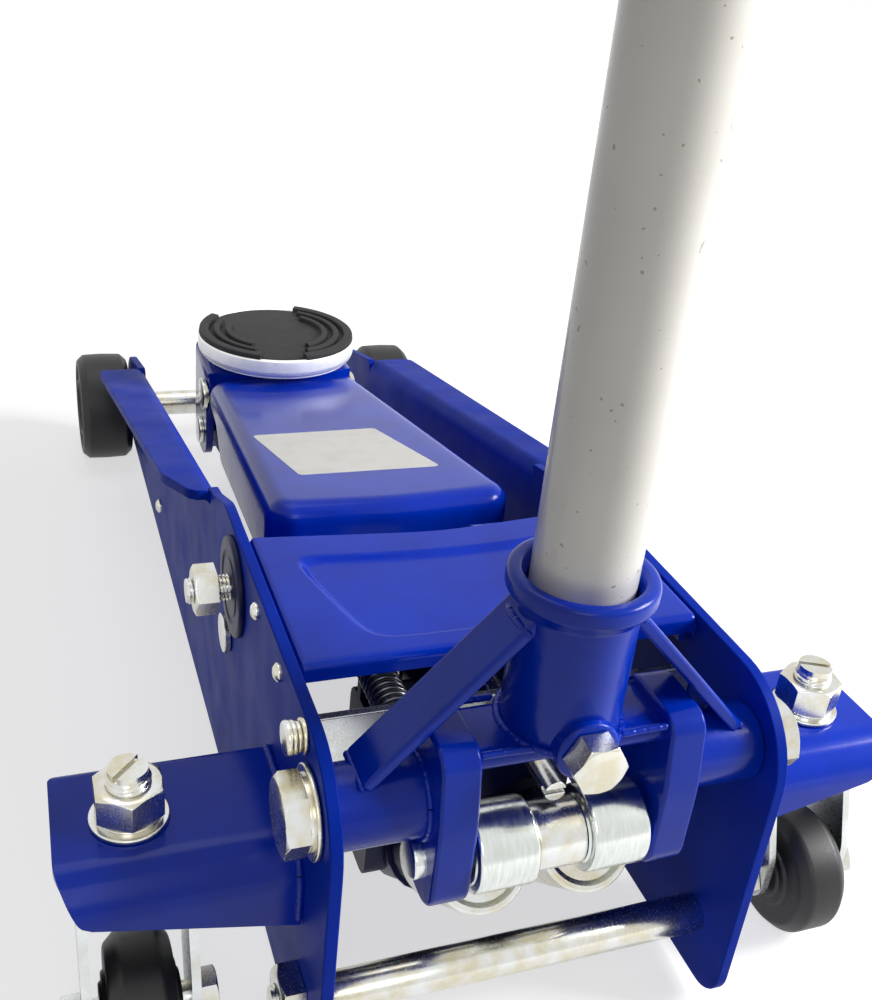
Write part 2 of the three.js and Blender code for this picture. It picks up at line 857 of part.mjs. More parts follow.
function ram() {
  const yokeTo = lugPinY + yokeLength / 2;
  const yokeFrom = lugPinY - yokeLength / 2;
  const yoke = alongX(outline([
    [yokeFrom, cylinderZ - yokeHeight / 2, yokeRound],
    [yokeTo, cylinderZ - yokeHeight / 2, yokeRound],
    [yokeTo, cylinderZ + yokeHeight / 2, yokeRound],
    [yokeFrom, cylinderZ + yokeHeight / 2, yokeRound],
  ], 3), -yokeHalf, yokeHalf);
  const slotHalf = armLugPin + armLugGap;
  const swing = armLug * (1 - Math.cos(lugRest + Math.PI / 2));
  const slotLow = lugPinZ - swing - slotHalf;
  const slotHigh = lugPinZ + slotHalf;
  const slot = alongX(outline([
    [lugPinY - slotHalf, slotLow, slotHalf],
    [lugPinY + slotHalf, slotLow, slotHalf],
    [lugPinY + slotHalf, slotHigh, slotHalf],
    [lugPinY - slotHalf, slotHigh, slotHalf],
  ]), -yokeHalf - overrun, yokeHalf + overrun);
  return cut(fuse(rodY3(ramRadius, ramRear, yokeFrom + overrun, 0, cylinderZ, 24), yoke), slot);
}

function releaseShaft() {
  const valveFace = (blockRear + blockFront) / 2 - valveLength / 2;
  const rod = rodY3(releaseRadius, releaseRear, valveFace + releaseEntry, 0, releaseZ, 12);
  const collarTo = barRear - gap;
  const collar = rodY3(releaseCollarRadius, collarTo - releaseCollarLength, collarTo, 0, releaseZ, 12);
  const slot = block(-releaseRadius - overrun, releaseRadius + overrun, releaseRear - overrun,
    releaseRear + releaseSlotDepth, releaseZ - releaseSlot / 2, releaseZ + releaseSlot / 2);
  return cut(fuse(rod, collar), slot);
}

function crossBar() {
  const bar = block(-innerHalf + gap, innerHalf - gap, barRear, barRear + barThickness,
    barRise, barRise + barHeight);
  return cut(bar, rodY3(releaseRadius + releaseFit, barRear - overrun,
    barRear + barThickness + overrun, 0, releaseZ, 12));
}

// One unbroken wire wound about a line along Y, its ends square to what holds them.
function returnSpring() {
  const stepsPerTurn = 7;
  const sides = 5;
  const wire = springWire;
  const coil = springRadius - wire;
  const from = springRear + wire;
  const to = springRear + springLength - wire;
  const steps = springTurns * stepsPerTurn;
  const centre = (k) => {
    const angle = 2 * Math.PI * k / stepsPerTurn;
    return vec(springX + coil * Math.cos(angle), from + (to - from) * k / steps,
      springZ + coil * Math.sin(angle));
  };
  const rise = (to - from) / steps;
  const rings = [];
  for (let k = 0; k <= steps; k += 1) {
    const angle = 2 * Math.PI * k / stepsPerTurn;
    const outward = vec(Math.cos(angle), 0, Math.sin(angle));
    const ahead = vec(-Math.sin(angle) * coil * 2 * Math.PI / stepsPerTurn, rise,
      Math.cos(angle) * coil * 2 * Math.PI / stepsPerTurn).normalize();
    const side = ahead.clone().cross(outward).normalize();
    const loop = [];
    for (let i = 0; i < sides; i += 1) {
      const a = 2 * Math.PI * i / sides;
      loop.push(centre(k).addScaledVector(outward, wire * Math.cos(a)).addScaledVector(side,
        wire * Math.sin(a)));
    }
    rings.push(loop);
  }
  const positions = rings.flat().flatMap((p) => [p.x, p.y, p.z]);
  const index = [];
  for (let r = 0; r < steps; r += 1) {
    for (let i = 0; i < sides; i += 1) {
      const a = r * sides + i;
      const b = r * sides + (i + 1) % sides;
      index.push(a, b, a + sides, b, b + sides, a + sides);
    }
  }
  for (let i = 1; i + 1 < sides; i += 1) {
    index.push(0, i + 1, i);
    index.push(steps * sides, steps * sides + i, steps * sides + i + 1);
  }
  let least = Infinity;
  for (let r = 0; r <= steps; r += 1) {
    for (let q = r + Math.ceil(stepsPerTurn / 2); q <= steps; q += 1) {
      for (const a of rings[r]) {
        for (const b of rings[q]) least = Math.min(least, a.distanceTo(b));
      }
    }
  }
  console.log(`return spring: least gap to itself ${least.toFixed(2)} mm`);
  const geometry = new THREE.BufferGeometry();
  geometry.setAttribute('position', new THREE.Float32BufferAttribute(positions, 3));
  geometry.setIndex(index);
  return solid(geometry);
}

// Cover plate

function coverPlate() {
  const half = innerHalf - coverGap;
  const bowSteps = 8;
  const frontEdge = [];
  for (let k = 0; k <= bowSteps; k += 1) {
    const x = half * (1 - 2 * k / bowSteps);
    frontEdge.push([x, coverFront - coverBow * (1 - (x / half) ** 2)]);
  }
  const sheet = alongZ(outline([
    [-half, coverRear, coverRound],
    [half, coverRear, coverRound],
    ...frontEdge,
  ], 4), plateTop - coverThickness, plateTop);
  const recessFront = coverFront - coverBow - coverBand / 2;
  const recess = (grow) => outline([
    [-recessRearHalf - grow, recessRearY - grow, recessRound],
    [recessRearHalf + grow, recessRearY - grow, recessRound],
    [recessFrontHalf + grow, recessFront + coverBow / 2 + grow, recessRound / 2],
    [0, recessFront - coverBow / 3 + grow, recessFrontHalf * 2],
    [-recessFrontHalf - grow, recessFront + coverBow / 2 + grow, recessRound / 2],
  ], 5);
  const floor = plateTop - coverRecess;
  const rings = [[-coverRecess / 2, floor], [coverRecess / 2, plateTop + overrun / 4]];
  const wide = recess(rings[1][0]).getPoints();
  const narrow = recess(rings[0][0]).getPoints();
  const pocket = loft([
    narrow.map((p) => vec(p.x, p.y, rings[0][1])),
    wide.map((p) => vec(p.x, p.y, rings[1][1])),
  ], (p) => new THREE.Vector2(p.x, p.y));
  const pan = alongZ(recess(coverThickness), floor - coverThickness, plateTop - coverThickness / 2);
  const lip = block(-half + coverRound, half - coverRound, coverRear, coverRear + coverThickness,
    plateTop - coverLip, plateTop - coverThickness / 2);
  const hem = block(half - coverThickness, half, coverRear + coverRound,
    coverFront - coverRound * 2, plateTop - coverLip * 2, plateTop - coverThickness / 2);
  return cut(fuse(sheet, pan, lip, hem, mirrorX(hem)), pocket);
}

// Lift arm

const armTopAt = (y) => armRearTop + (armFrontTop - armRearTop) * (y - armRearY) / (armFrontY - armRearY);
const armHalfAt = (y) => armRearHalf
  + (armFrontHalf - armRearHalf) * (y - armRearY) / (armFrontY - armRearY);

// One ring of the arm's pressed section: flat sides, rounded upper edges, open foot.
function armRing(y, half, top, bottom, radius, bow) {
  const arcSteps = 3;
  const points = [[-half, bottom], [half, bottom]];
  for (let k = 0; k <= arcSteps; k += 1) {
    const angle = (Math.PI / 2) * k / arcSteps;
    points.push([half - radius + radius * Math.cos(angle), top - radius + radius * Math.sin(angle)]);
  }
  points.push([0, top]);
  for (let k = 0; k <= arcSteps; k += 1) {
    const angle = Math.PI / 2 + (Math.PI / 2) * k / arcSteps;
    points.push([-half + radius + radius * Math.cos(angle), top - radius + radius * Math.sin(angle)]);
  }
  return points.map(([x, z]) => vec(x, y - bow * (1 - (x / armRearHalf) ** 2), z));
}

function armHull(inset, tailRadius, bottom, ahead) {
  const rings = [];
  const tailSteps = 4;
  for (let k = 0; k <= tailSteps; k += 1) {
    const angle = (Math.PI / 2) * k / tailSteps;
    const y = armRearY + inset + tailRadius * (1 - Math.cos(angle));
    const dip = tailRadius * (1 - Math.sin(angle));
    rings.push(armRing(y, armHalfAt(y) - inset - dip / 3, armTopAt(y) - inset - dip, bottom,
      armEdgeRadius - inset / 2, armBow * (1 - k / tailSteps / 2)));
  }
  const first = armRearY + inset + tailRadius;
  const last = armFrontY + ahead;
  const runSteps = 2;
  for (let k = 1; k <= runSteps; k += 1) {
    const y = first + (last - first) * k / runSteps;
    rings.push(armRing(y, armHalfAt(y) - inset, armTopAt(y) - inset, bottom,
      armEdgeRadius - inset / 2, armBow / 2 * (1 - k / runSteps)));
  }
  return loft(rings, (p) => new THREE.Vector2(p.x, p.z));
}

function liftArm() {
  const low = saddlePinZ - armForkRadius + armForkRadius / 6;
  const shell = cut(
    armHull(0, armTailRadius, armBellyZ - armEdgeRadius, 0),
    armHull(armWall, armTailRadius - armWall, armBellyZ - armEdgeRadius * 2, overrun),
  );
  const side = alongX(outline([
    [armRearY - armBow * 2, armTailBottom],
    [armRearY + armTailRadius, armTailBottom, armEdgeRadius / 2],
    [armRearY + armTailRadius * 2, armRearBottom, armEdgeRadius / 2],
    [armBellyY, armBellyZ, armEdgeRadius * 2],
    [armThroatY, armThroatZ, armEdgeRadius],
    [armFrontY + overrun, armThroatZ],
    [armFrontY + overrun, armRearTop + overrun],
    [armRearY - armBow * 2, armRearTop + overrun],
  ]), -armRearHalf - overrun, armRearHalf + overrun);
  const earOut = armHalfAt(armRearY + armEarReach) - armWall + overrun;
  const ear = alongX(outline([
    [armPivotY - armEarRadius, armPivotZ - armEarRadius, armEarRadius],
    [armPivotY, armPivotZ - armEarRadius],
    [armRearY, armRearBottom, armEdgeRadius],
    [armRearY + armEarReach, armRearBottom, armEdgeRadius],
    [armRearY + armEarReach, armTopAt(armRearY + armEarReach) - armEdgeRadius, armEdgeRadius],
    [armRearY + armWall, armRearBottom + armEarRadius],
    [armPivotY, armPivotZ + armEarRadius, armEarRadius / 2],
    [armPivotY - armEarRadius, armPivotZ + armEarRadius, armEarRadius],
  ], 3), earOut - armEarThickness, earOut);
  const sleeve = rodX3(armSleeveRadius, armLugHalf - overrun, earOut - overrun,
    armPivotY, armPivotZ);
  const lugDir = new THREE.Vector2(Math.cos(lugRest), Math.sin(lugRest));
  const across = new THREE.Vector2(-lugDir.y, lugDir.x);
  const lugPoint = (along, side) => [
    armPivotY + lugDir.x * along + across.x * side,
    armPivotZ + lugDir.y * along + across.y * side,
  ];
  const lug = alongX(outline([
    [...lugPoint(-armSleeveRadius, -armSleeveRadius), armSleeveRadius],
    [...lugPoint(armLug + armLugRadius, -armLugRadius), armLugRadius],
    [...lugPoint(armLug + armLugRadius, armLugRadius), armLugRadius],
    [...lugPoint(-armSleeveRadius, armSleeveRadius), armSleeveRadius],
  ], 3), armLugHalf - armLugWidth, armLugHalf);
  const forkTop = (y) => armTopAt(y) - armWall / 2;
  const neck = alongX(outline([
    [armForkRear, forkTop(armForkRear)],
    [armForkRear, armBellyZ, armEdgeRadius],
    [saddleReach - armForkNeck, low, armForkNeck],
    [saddleReach, low],
    [saddleReach, saddlePinZ],
    [armFrontY - armWall / 4, saddlePinZ, armForkRadius / 4],
    [armFrontY - armWall / 4, forkTop(armFrontY)],
  ], 3), armForkHalf - armForkThickness, armForkHalf);
  const fork = fuse(neck, rodX3(armForkRadius, armForkHalf - armForkThickness, armForkHalf,
    saddleReach, saddlePinZ, 20));
  const half = fuse(ear, sleeve, lug, fork);
  const gusset = block(-armForkHalf, armForkHalf, armForkRear, armForkRear + armWall, low,
    armTopAt(armForkRear) - armWall / 2);
  const whole = fuse(shell.intersect(side), half, mirrorX(half), gusset);
  return cut(
    whole,
    rodX3(armShaftRadius + gap, -armRearHalf, armRearHalf, armPivotY, armPivotZ),
    rodX3(armLugPin + gap, -armRearHalf, armRearHalf, lugPinY, lugPinZ, 14),
    rodX3(saddlePinRadius + gap, -armRearHalf, armRearHalf, saddleReach, saddlePinZ),
  );
}

// The shaft on which the arm turns; each end has a broad face and a stud with its nut.
function armShaft() {
  const faceTo = plateOuterX + gap + armBossHeight;
  const half = fuse(
    rodX3(armShaftRadius, 0, faceTo - overrun, armPivotY, armPivotZ),
    rodX3(armBossRadius, plateOuterX + gap, faceTo, armPivotY, armPivotZ, 22),
    rodX3(armStudRadius, faceTo - overrun, faceTo + armStudLength + armNutThickness + armStudRadius / 2,
      armPivotY, armPivotZ, 12),
  );
  const nutFrom = faceTo + armStudLength;
  const nut = alongX(ring(hexagon(armNutAcross, armPivotY, armPivotZ),
    disc(armStudRadius + gap, 12, armPivotY, armPivotZ)), nutFrom, nutFrom + armNutThickness);
  piece('arm_pivot_shaft', fuse(half, mirrorX(half)), darkPaint);
  sidePieces('arm_pivot_nut', nut, zinc);
}

// Saddle and rods

const rodFootY = saddleReach + rodOffsetY;
const rodFootZ = saddlePinZ + rodOffsetZ;

function saddleBracket() {
  const side = alongX(outline([
    [bracketRear, bracketSkirt, bracketEdge / 2],
    [bracketRear + bracketWall, bracketSkirt, bracketEdge / 2],
    [rodFootY - bracketEar, rodFootZ + bracketEar, bracketEar],
    [rodFootY - bracketEar, rodFootZ - bracketEar, bracketEar],
    [rodFootY + bracketEar, rodFootZ - bracketEar, bracketEar],
    [bracketFront, rodFootZ + bracketEar, bracketEar],
    [bracketFront, saddleRise],
    [bracketRear, saddleRise],
  ], 4), -bracketHalf - overrun, bracketHalf + overrun);
  const plan = (inset) => outline([
    [-bracketHalf + inset, bracketRear + inset, bracketCorner - inset],
    [bracketHalf - inset, bracketRear + inset, bracketCorner - inset],
    [bracketHalf - inset, bracketFront - inset, bracketCorner - inset],
    [-bracketHalf + inset, bracketFront - inset, bracketCorner - inset],
  ], 4);
  const low = rodFootZ - bracketEar - overrun;
  const crown = alongY(outline([
    [-bracketHalf, low],
    [bracketHalf, low],
    [bracketHalf, saddleRise, bracketEdge],
    [-bracketHalf, saddleRise, bracketEdge],
  ], 4), bracketRear - overrun, bracketFront + overrun);
  const outer = alongZ(plan(0), low, saddleRise).intersect(side).intersect(crown);
  const inner = alongZ(plan(bracketWall), low - overrun, saddleRise - bracketWall);
  return cut(
    outer,
    inner,
    rodX3(saddlePinRadius + gap, -bracketHalf - overrun, bracketHalf + overrun,
      saddleReach, saddlePinZ),
    rodX3(rodPinRadius + gap, -bracketHalf - overrun, bracketHalf + overrun, rodFootY, rodFootZ, 14),
    rodZ3(cupStemRadius + gap, saddleRise - bracketWall - overrun, saddleRise + overrun, 0, saddleY),
  );
}

// A pin through both walls, with a flat head on each end.
function headedPin(radius, headRadius, half, head, y, z) {
  const seat = half + gap;
  return fuse(
    rodX3(radius, -seat - head / 2, seat + head / 2, y, z, 14),
    rodX3(headRadius, seat, seat + head, y, z, 14),
    rodX3(headRadius, -seat - head, -seat, y, z, 14),
  );
}

function saddleCup() {
  const base = saddleRise + gap;
  return turned([
    [0, -cupStemLength],
    [cupStemRadius, -cupStemLength],
    [cupStemRadius, 0],
    [cupSeat, 0],
    [cupRadius, cupRise],
    [cupRadius, cupHeight - cupWall / 4],
    [cupRadius - cupWall / 4, cupHeight],
    [cupRadius - cupWall, cupHeight],
    [cupRadius - cupWall, cupFloor],
    [0, cupFloor],
  ], axisZ, vec(0, saddleY, base), 28);
}

function saddlePad() {
  const base = saddleRise + gap + cupFloor + gap;
  const crown = padTop - padRibHeight;
  const edge = padRibWidth / 2;
  const plain = turned([
    [0, base],
    [padRadius, base],
    [padRadius, crown - edge],
    [padRadius - edge, crown],
    [0, crown],
  ], axisZ, vec(0, saddleY, 0), 28);
  const ribs = [];
  for (let k = 0; k < padRibs; k += 1) {
    const outer = padRadius - edge - k * padRibPitch;
    ribs.push([outer - padRibWidth, outer]);
  }
  const channel = alongZ(outline([
    [-padChannel / 2, -padRadius - overrun],
    [padChannel / 2, -padRadius - overrun],
    [padChannel / 2, padRadius + overrun],
    [-padChannel / 2, padRadius + overrun],
  ]), crown, padTop + overrun).rotate([0, 0, padChannelAngle]).translate([0, saddleY, 0]);
  const raised = ribs.map(([inner, outer]) => turned([
    [inner, crown - edge],
    [outer, crown - edge],
    [outer, padTop - edge / 2],
    [outer - edge / 2, padTop],
    [inner + edge / 2, padTop],
    [inner, padTop - edge / 2],
    [inner, crown - edge],
  ], axisZ, vec(0, saddleY, 0), 20));
  return fuse(plain, cut(fuse(...raised), channel));
}

function radiusRod() {
  const from = vec(0, armPivotY + rodOffsetY, armPivotZ + rodOffsetZ);
  const to = vec(0, rodFootY, rodFootZ);
  const length = from.distanceTo(to);
  const bar = alongX(outline([
    [0, -rodHalfDepth],
    [length, -rodHalfDepth],
    [length, rodHalfDepth],
    [0, rodHalfDepth],
  ]), rodX - rodThickness / 2, rodX + rodThickness / 2);
  const eye = (y) => rodX3(rodEyeRadius, rodX - rodThickness / 2, rodX + rodThickness / 2, y, 0);
  const hole = (y) => rodX3(rodPinRadius + gap, rodX - rodThickness, rodX + rodThickness, y, 0, 14);
  const straight = cut(fuse(bar, eye(0), eye(length)), hole(0), hole(length));
  return straight
    .rotate([THREE.MathUtils.radToDeg(armLow), 0, 0])
    .translate([0, from.y, from.z]);
}

// The stub on which a radius rod hangs from the side plate.
function rodStub() {
  const y = armPivotY + rodOffsetY;
  const z = armPivotZ + rodOffsetZ;
  return fuse(
    rodX3(rodPinRadius, rodX - rodThickness / 2 - gap - rodPinHeadThickness,
      plateOuterX + gap + rodPinHeadThickness / 2, y, z, 14),
    rodX3(rodPinHead, plateOuterX + gap, plateOuterX + gap + rodPinHeadThickness, y, z, 14),
    rodX3(rodPinHead, rodX - rodThickness / 2 - gap - rodPinHeadThickness,
      rodX - rodThickness / 2 - gap, y, z, 14),
    rodX3(rodPinHead, rodX + rodThickness / 2 + gap, innerHalf - gap, y, z, 14),
  );
}

// Rear casters

function wingBracket() {
  const inner = plateOuterX + gap;
  const tilt = Math.atan2(wingBend - wingFootY, wingTop - wingCreaseZ);
  const lowInset = wingThickness * Math.tan(tilt / 2);
  const highInset = wingThickness * Math.tan((Math.PI / 2 - tilt) / 2);
  const section = alongX(outline([
    [wingFootY, wingFootZ],
    [wingFootY + wingThickness, wingFootZ],
    [wingFootY + wingThickness, wingCreaseZ - lowInset, wingThickness],
    [wingBend + highInset, wingTop - wingThickness, wingThickness],
    [wingFront - wingThickness, wingTop - wingThickness, wingThickness / 2],
    [wingFront - wingThickness, wingTop - wingLip],
    [wingFront, wingTop - wingLip],
    [wingFront, wingTop, wingThickness],
    [wingBend, wingTop, wingThickness * 2],
    [wingFootY, wingCreaseZ, wingThickness * 2],
  ], 3), inner, wingHalf);
  const plan = alongZ(outline([
    [inner - overrun, wingFootY - overrun],
    [wingHalf, wingFootY - overrun, wingCorner / 2],
    [wingHalf, wingFront, wingCorner / 2],
    [inner - overrun, wingFront],
  ], 4), wingFootZ - overrun, wingTop + overrun);
  const nose = alongY(outline([
    [inner - overrun, wingFootZ],
    [wingHalf - wingTaper, wingTipZ, wingCorner / 2],
    [wingHalf, wingTop, wingThickness / 2],
    [inner - overrun, wingTop],
  ], 4), wingFootY - overrun, wingFront + overrun);
  const web = alongX(outline([
    [wingFootY + wingThickness / 2, wingFootZ],
    [wingFront - wingThickness / 2, wingTop - wingLip * 2, wingLip],
    [wingFront - wingThickness / 2, wingTop - wingThickness / 2],
    [wingBend + wingThickness / 2, wingTop - wingThickness / 2],
    [wingFootY + wingThickness / 2, wingCreaseZ],
  ]), inner, inner + wingThickness);
  return cut(
    fuse(section.intersect(plan).intersect(nose), web),
    rodZ3(kingRadius + gap, wingTop - wingThickness - overrun, wingTop + overrun, kingX, kingY),
  );
}

function caster() {
  const headTop = forkTop;
  const headLow = forkTop - forkHeadThickness;
  const boltLow = headLow - gap - kingFlange;
  const bolt = cut(
    fuse(
      rodZ3(kingRadius, boltLow, kingTop, kingX, kingY, 16),
      rodZ3(kingFlangeRadius, boltLow, boltLow + kingFlange, kingX, kingY, 16),
      rodZ3(raceRadius, headTop + gap, wingTop - wingThickness - gap, kingX, kingY, 20),
    ),
    block(kingX - kingRadius - overrun, kingX + kingRadius + overrun, kingY - kingSlot / 2,
      kingY + kingSlot / 2, kingTop - kingSlotDepth, kingTop + overrun),
  );
  const washerFrom = wingTop + gap;
  const washer = alongZ(ring(disc(kingWasherRadius, 24, kingX, kingY),
    disc(kingRadius + gap, 16, kingX, kingY)), washerFrom, washerFrom + kingWasherThickness);
  const nutFrom = washerFrom + kingWasherThickness + gap;
  const nut = alongZ(ring(hexagon(kingNutAcross, kingX, kingY, Math.PI / 6),
    disc(kingRadius + gap, 16, kingX, kingY)), nutFrom, nutFrom + kingNutThickness);
  const axleY0 = kingY - forkTrail;
  const legIn = casterWidth / 2 + forkThickness - overrun / 2;
  const leg = (side) => alongX(outline([
    [axleY0 - forkHeel, casterRadius - forkHeel, forkHeel],
    [axleY0 + forkHeel, casterRadius - forkHeel, forkHeel],
    [kingY + forkLegHalf, headLow + overrun, forkLegHalf],
    [kingY + forkLegHalf, headTop],
    [kingY - forkLegHalf, headTop],
    [axleY0 - forkHeel, forkKnee, forkTrail],
  ], 4), kingX + Math.min(side * legIn, side * (legIn + forkThickness)),
  kingX + Math.max(side * legIn, side * (legIn + forkThickness)));
  const head = rodZ3(forkHeadRadius, headLow, headTop, kingX, kingY, 22);
  const fork = cut(
    fuse(head, leg(1), leg(-1)),
    rodZ3(kingRadius + gap, headLow - overrun, headTop + overrun, kingX, kingY, 16),
    rodX3(casterAxleRadius + gap, kingX - wingHalf, kingX + wingHalf, axleY0, casterRadius, 12),
  );
  const wheel = turned([
    [casterAxleRadius + gap, 0],
    [casterHubRadius, 0],
    [casterHubRadius, casterRound / 2],
    [casterRadius - casterRound, casterRound / 2],
    [casterRadius, casterRound * 1.5],
    [casterRadius, casterWidth - casterRound * 1.5],
    [casterRadius - casterRound, casterWidth - casterRound / 2],
    [casterHubRadius, casterWidth - casterRound / 2],
    [casterHubRadius, casterWidth],
    [casterAxleRadius + gap, casterWidth],
    [casterAxleRadius + gap, 0],
  ], axisX, vec(kingX - casterWidth / 2, axleY0, casterRadius), 20);
  const reach = legIn + forkThickness + gap;
  const hexAt = (from, to) => alongX(hexagon(casterNutAcross, axleY0, casterRadius),
    kingX + from, kingX + to);
  const axle = fuse(
    rodX3(casterAxleRadius, kingX - reach - overrun, kingX + reach + overrun, axleY0, casterRadius, 12),
    hexAt(reach, reach + casterNutThickness),
    hexAt(-reach - casterNutThickness, -reach),
  );
  return { bolt, washer, nut, fork, wheel, axle };
}

// Handle

const tubePart = (outer, inner, from, to) => turned([
  [inner, from],
  [outer, from],
  [outer, to],
  [inner, to],
  [inner, from],
], axisZ, vec(0, 0, 0), 24);

function lowerTube() {
  const from = socketFloor + gap;
  const button = rodY3(buttonRadius, -tubeRadius - buttonHeight, -tubeRadius + tubeWall, 0, buttonZ, 12);
  return fuse(tubePart(tubeRadius, tubeRadius - tubeWall, from, lowerTubeTop), button);
}

function upperTube() {
  const inner = tubeRadius - tubeWall - upperTubeGap;
  return tubePart(inner, inner - tubeWall, upperTubeBottom, upperTubeTop);
}

function grip() {
  const tube = tubeRadius - tubeWall - upperTubeGap;
  const bore = tube + gap;
  const top = upperTubeTop + gap + gripCrown;
  const profile = [[bore, gripBottom], [gripRadius - gripRibDepth, gripBottom]];
  const first = gripBottom + gripRibPitch;
  for (let k = 0; k < gripRibs; k += 1) {
    const at = first + k * gripRibPitch;
    profile.push([gripRadius, at - gripRibWidth / 2]);
    profile.push([gripRadius, at + gripRibWidth / 2]);
    profile.push([gripRadius - gripRibDepth, at + gripRibPitch / 2]);
  }
  profile.push([gripRadius, top - gripCrown]);
  profile.push([gripRadius - gripCrown / 2, top]);
  profile.push([0, top]);
  profile.push([0, upperTubeTop + gap]);
  profile.push([bore, upperTubeTop + gap]);
  profile.push([bore, gripBottom]);
  return turned(profile, axisZ, vec(0, 0, 0), 20);
}

// Assembly

sidePieces('side_plate', sidePlate(), paint);
piece('cover_plate', coverPlate(), paint);
frontEnd();
tieRod();
sidePieces('pivot_bolt', pivotBolt(), zinc);
piece('handle_socket', handleSocket(), paint);
piece('clamp_bolt', clampBolt(), zinc);
rollerSet();
sidePieces('pump_cap', pumpCap(), zinc);
piece('power_unit', powerUnit(), darkPaint);
piece('ram', ram(), brightSteel);
piece('release_shaft', releaseShaft(), zinc);
piece('cross_bar', crossBar(), zinc);
piece('return_spring', returnSpring(), springSteel);
piece('lift_arm', liftArm(), paint);
armShaft();
piece('arm_lug_pin', rodX3(armLugPin, -armLugHalf, armLugHalf, lugPinY, lugPinZ, 14), brightSteel);
piece('saddle_bracket', saddleBracket(), paint);
piece('saddle_pin', headedPin(saddlePinRadius, saddlePinRadius + rodPinHeadThickness, bracketHalf,
  rodPinHeadThickness, saddleReach, saddlePinZ), zinc);
piece('saddle_cup', saddleCup(), zinc);
piece('saddle_pad', saddlePad(), rubber);
sidePieces('radius_rod', radiusRod(), paint);
piece('radius_rod_pin', headedPin(rodPinRadius, rodPinHead, bracketHalf, rodPinHeadThickness,
  rodFootY, rodFootZ), zinc);
sidePieces('radius_rod_stub', rodStub(), zinc);
sidePieces('caster_bracket', wingBracket(), paint);
const corner = caster();
sidePieces('caster_king_bolt', corner.bolt, zinc);
sidePieces('caster_washer', corner.washer, zinc);
sidePieces('caster_nut', corner.nut, zinc);
sidePieces('caster_fork', corner.fork, zinc);
sidePieces('caster_wheel', corner.wheel, black);
sidePieces('caster_axle', corner.axle, zinc);
piece('handle_tube_lower', lowerTube(), white);
piece('handle_tube_upper', upperTube(), white);
piece('handle_grip', grip(), rubber);

export default group;
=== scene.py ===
"""Looks of a trolley floor jack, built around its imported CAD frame.

Every shape is worked out in millimetres in the frame in which the part was
drawn: X to the right, Y towards the saddle, Z up, the handle pivot over Y = 0.
"""

import json
import logging
import math
from collections.abc import Sequence
from dataclasses import dataclass
from enum import Enum

import bmesh
import bpy
import numpy as np
from mathutils import Matrix, Vector

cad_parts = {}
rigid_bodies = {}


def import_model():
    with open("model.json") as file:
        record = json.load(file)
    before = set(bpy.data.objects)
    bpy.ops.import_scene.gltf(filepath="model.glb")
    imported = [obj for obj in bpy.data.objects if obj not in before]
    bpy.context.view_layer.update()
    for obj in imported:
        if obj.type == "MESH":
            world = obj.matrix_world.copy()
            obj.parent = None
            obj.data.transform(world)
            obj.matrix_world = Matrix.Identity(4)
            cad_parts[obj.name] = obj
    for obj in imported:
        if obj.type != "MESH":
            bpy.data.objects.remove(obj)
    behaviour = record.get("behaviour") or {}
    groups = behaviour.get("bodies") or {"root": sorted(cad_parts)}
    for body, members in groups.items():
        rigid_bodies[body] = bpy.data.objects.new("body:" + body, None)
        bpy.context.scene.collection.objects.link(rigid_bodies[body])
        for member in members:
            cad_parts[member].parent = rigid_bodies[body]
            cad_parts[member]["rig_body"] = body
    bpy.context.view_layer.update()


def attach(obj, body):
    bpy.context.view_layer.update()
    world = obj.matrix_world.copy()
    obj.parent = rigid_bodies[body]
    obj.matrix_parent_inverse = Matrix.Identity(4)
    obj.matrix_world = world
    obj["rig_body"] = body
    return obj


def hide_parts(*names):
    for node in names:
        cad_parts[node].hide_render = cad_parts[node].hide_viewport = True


LOG = logging.getLogger("trolley_jack")

MM = 0.001
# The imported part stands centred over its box, this far behind the drawing's own origin.
CENTRE_Y = 282.1
# The gap that touching pieces keep, and the place across the jack of what seats on a cheek's outer face.
GAP = 0.3
SEAT = 90.3
# Faces that meet at less than this angle in degrees are shaded as one.
SMOOTH_UNDER = 38.0


class Axis(Enum):
    """The direction along which a profile is turned or a flat outline is stretched."""

    X = (1.0, 0.0, 0.0)
    Y = (0.0, 1.0, 0.0)
    Z = (0.0, 0.0, 1.0)


class Side(Enum):
    """The jack's two sides, as seen by the person who pulls the handle."""

    LEFT = -1
    RIGHT = 1


# Shapes


@dataclass
class Body:
    """A surface: its points in millimetres and its faces."""

    points: np.ndarray
    faces: list[tuple[int, ...]]

    def mirrored(self, side: Side) -> "Body":
        """Returns the body as drawn for the right side, or mirrored for the left."""
        return Body(self.points * np.array([side.value, 1.0, 1.0]), self.faces)

    def moved(self, x: float, y: float, z: float) -> "Body":
        """Returns the body moved by the given millimetres."""
        return Body(self.points + np.array([x, y, z]), self.faces)


def grid_faces(rows: int, columns: int, wrap_rows: bool, wrap_columns: bool) -> list[tuple[int, ...]]:
    """Joins a grid of points by four-sided faces.

    Args:
        rows: How many rows of points there are.
        columns: How many points a row has.
        wrap_rows: Whether the last row joins the first.
        wrap_columns: Whether each row closes on itself.

    Returns:
        The faces, as four point numbers each.
    """
    row = np.arange(rows if wrap_rows else rows - 1)[:, None]
    column = np.arange(columns if wrap_columns else columns - 1)[None, :]
    next_row = (row + 1) % rows
    next_column = (column + 1) % columns
    corners = np.stack([
        row * columns + column,
        row * columns + next_column,
        next_row * columns + next_column,
        next_row * columns + column,
    ], axis=-1)
    return [tuple(face) for face in corners.reshape(-1, 4).tolist()]


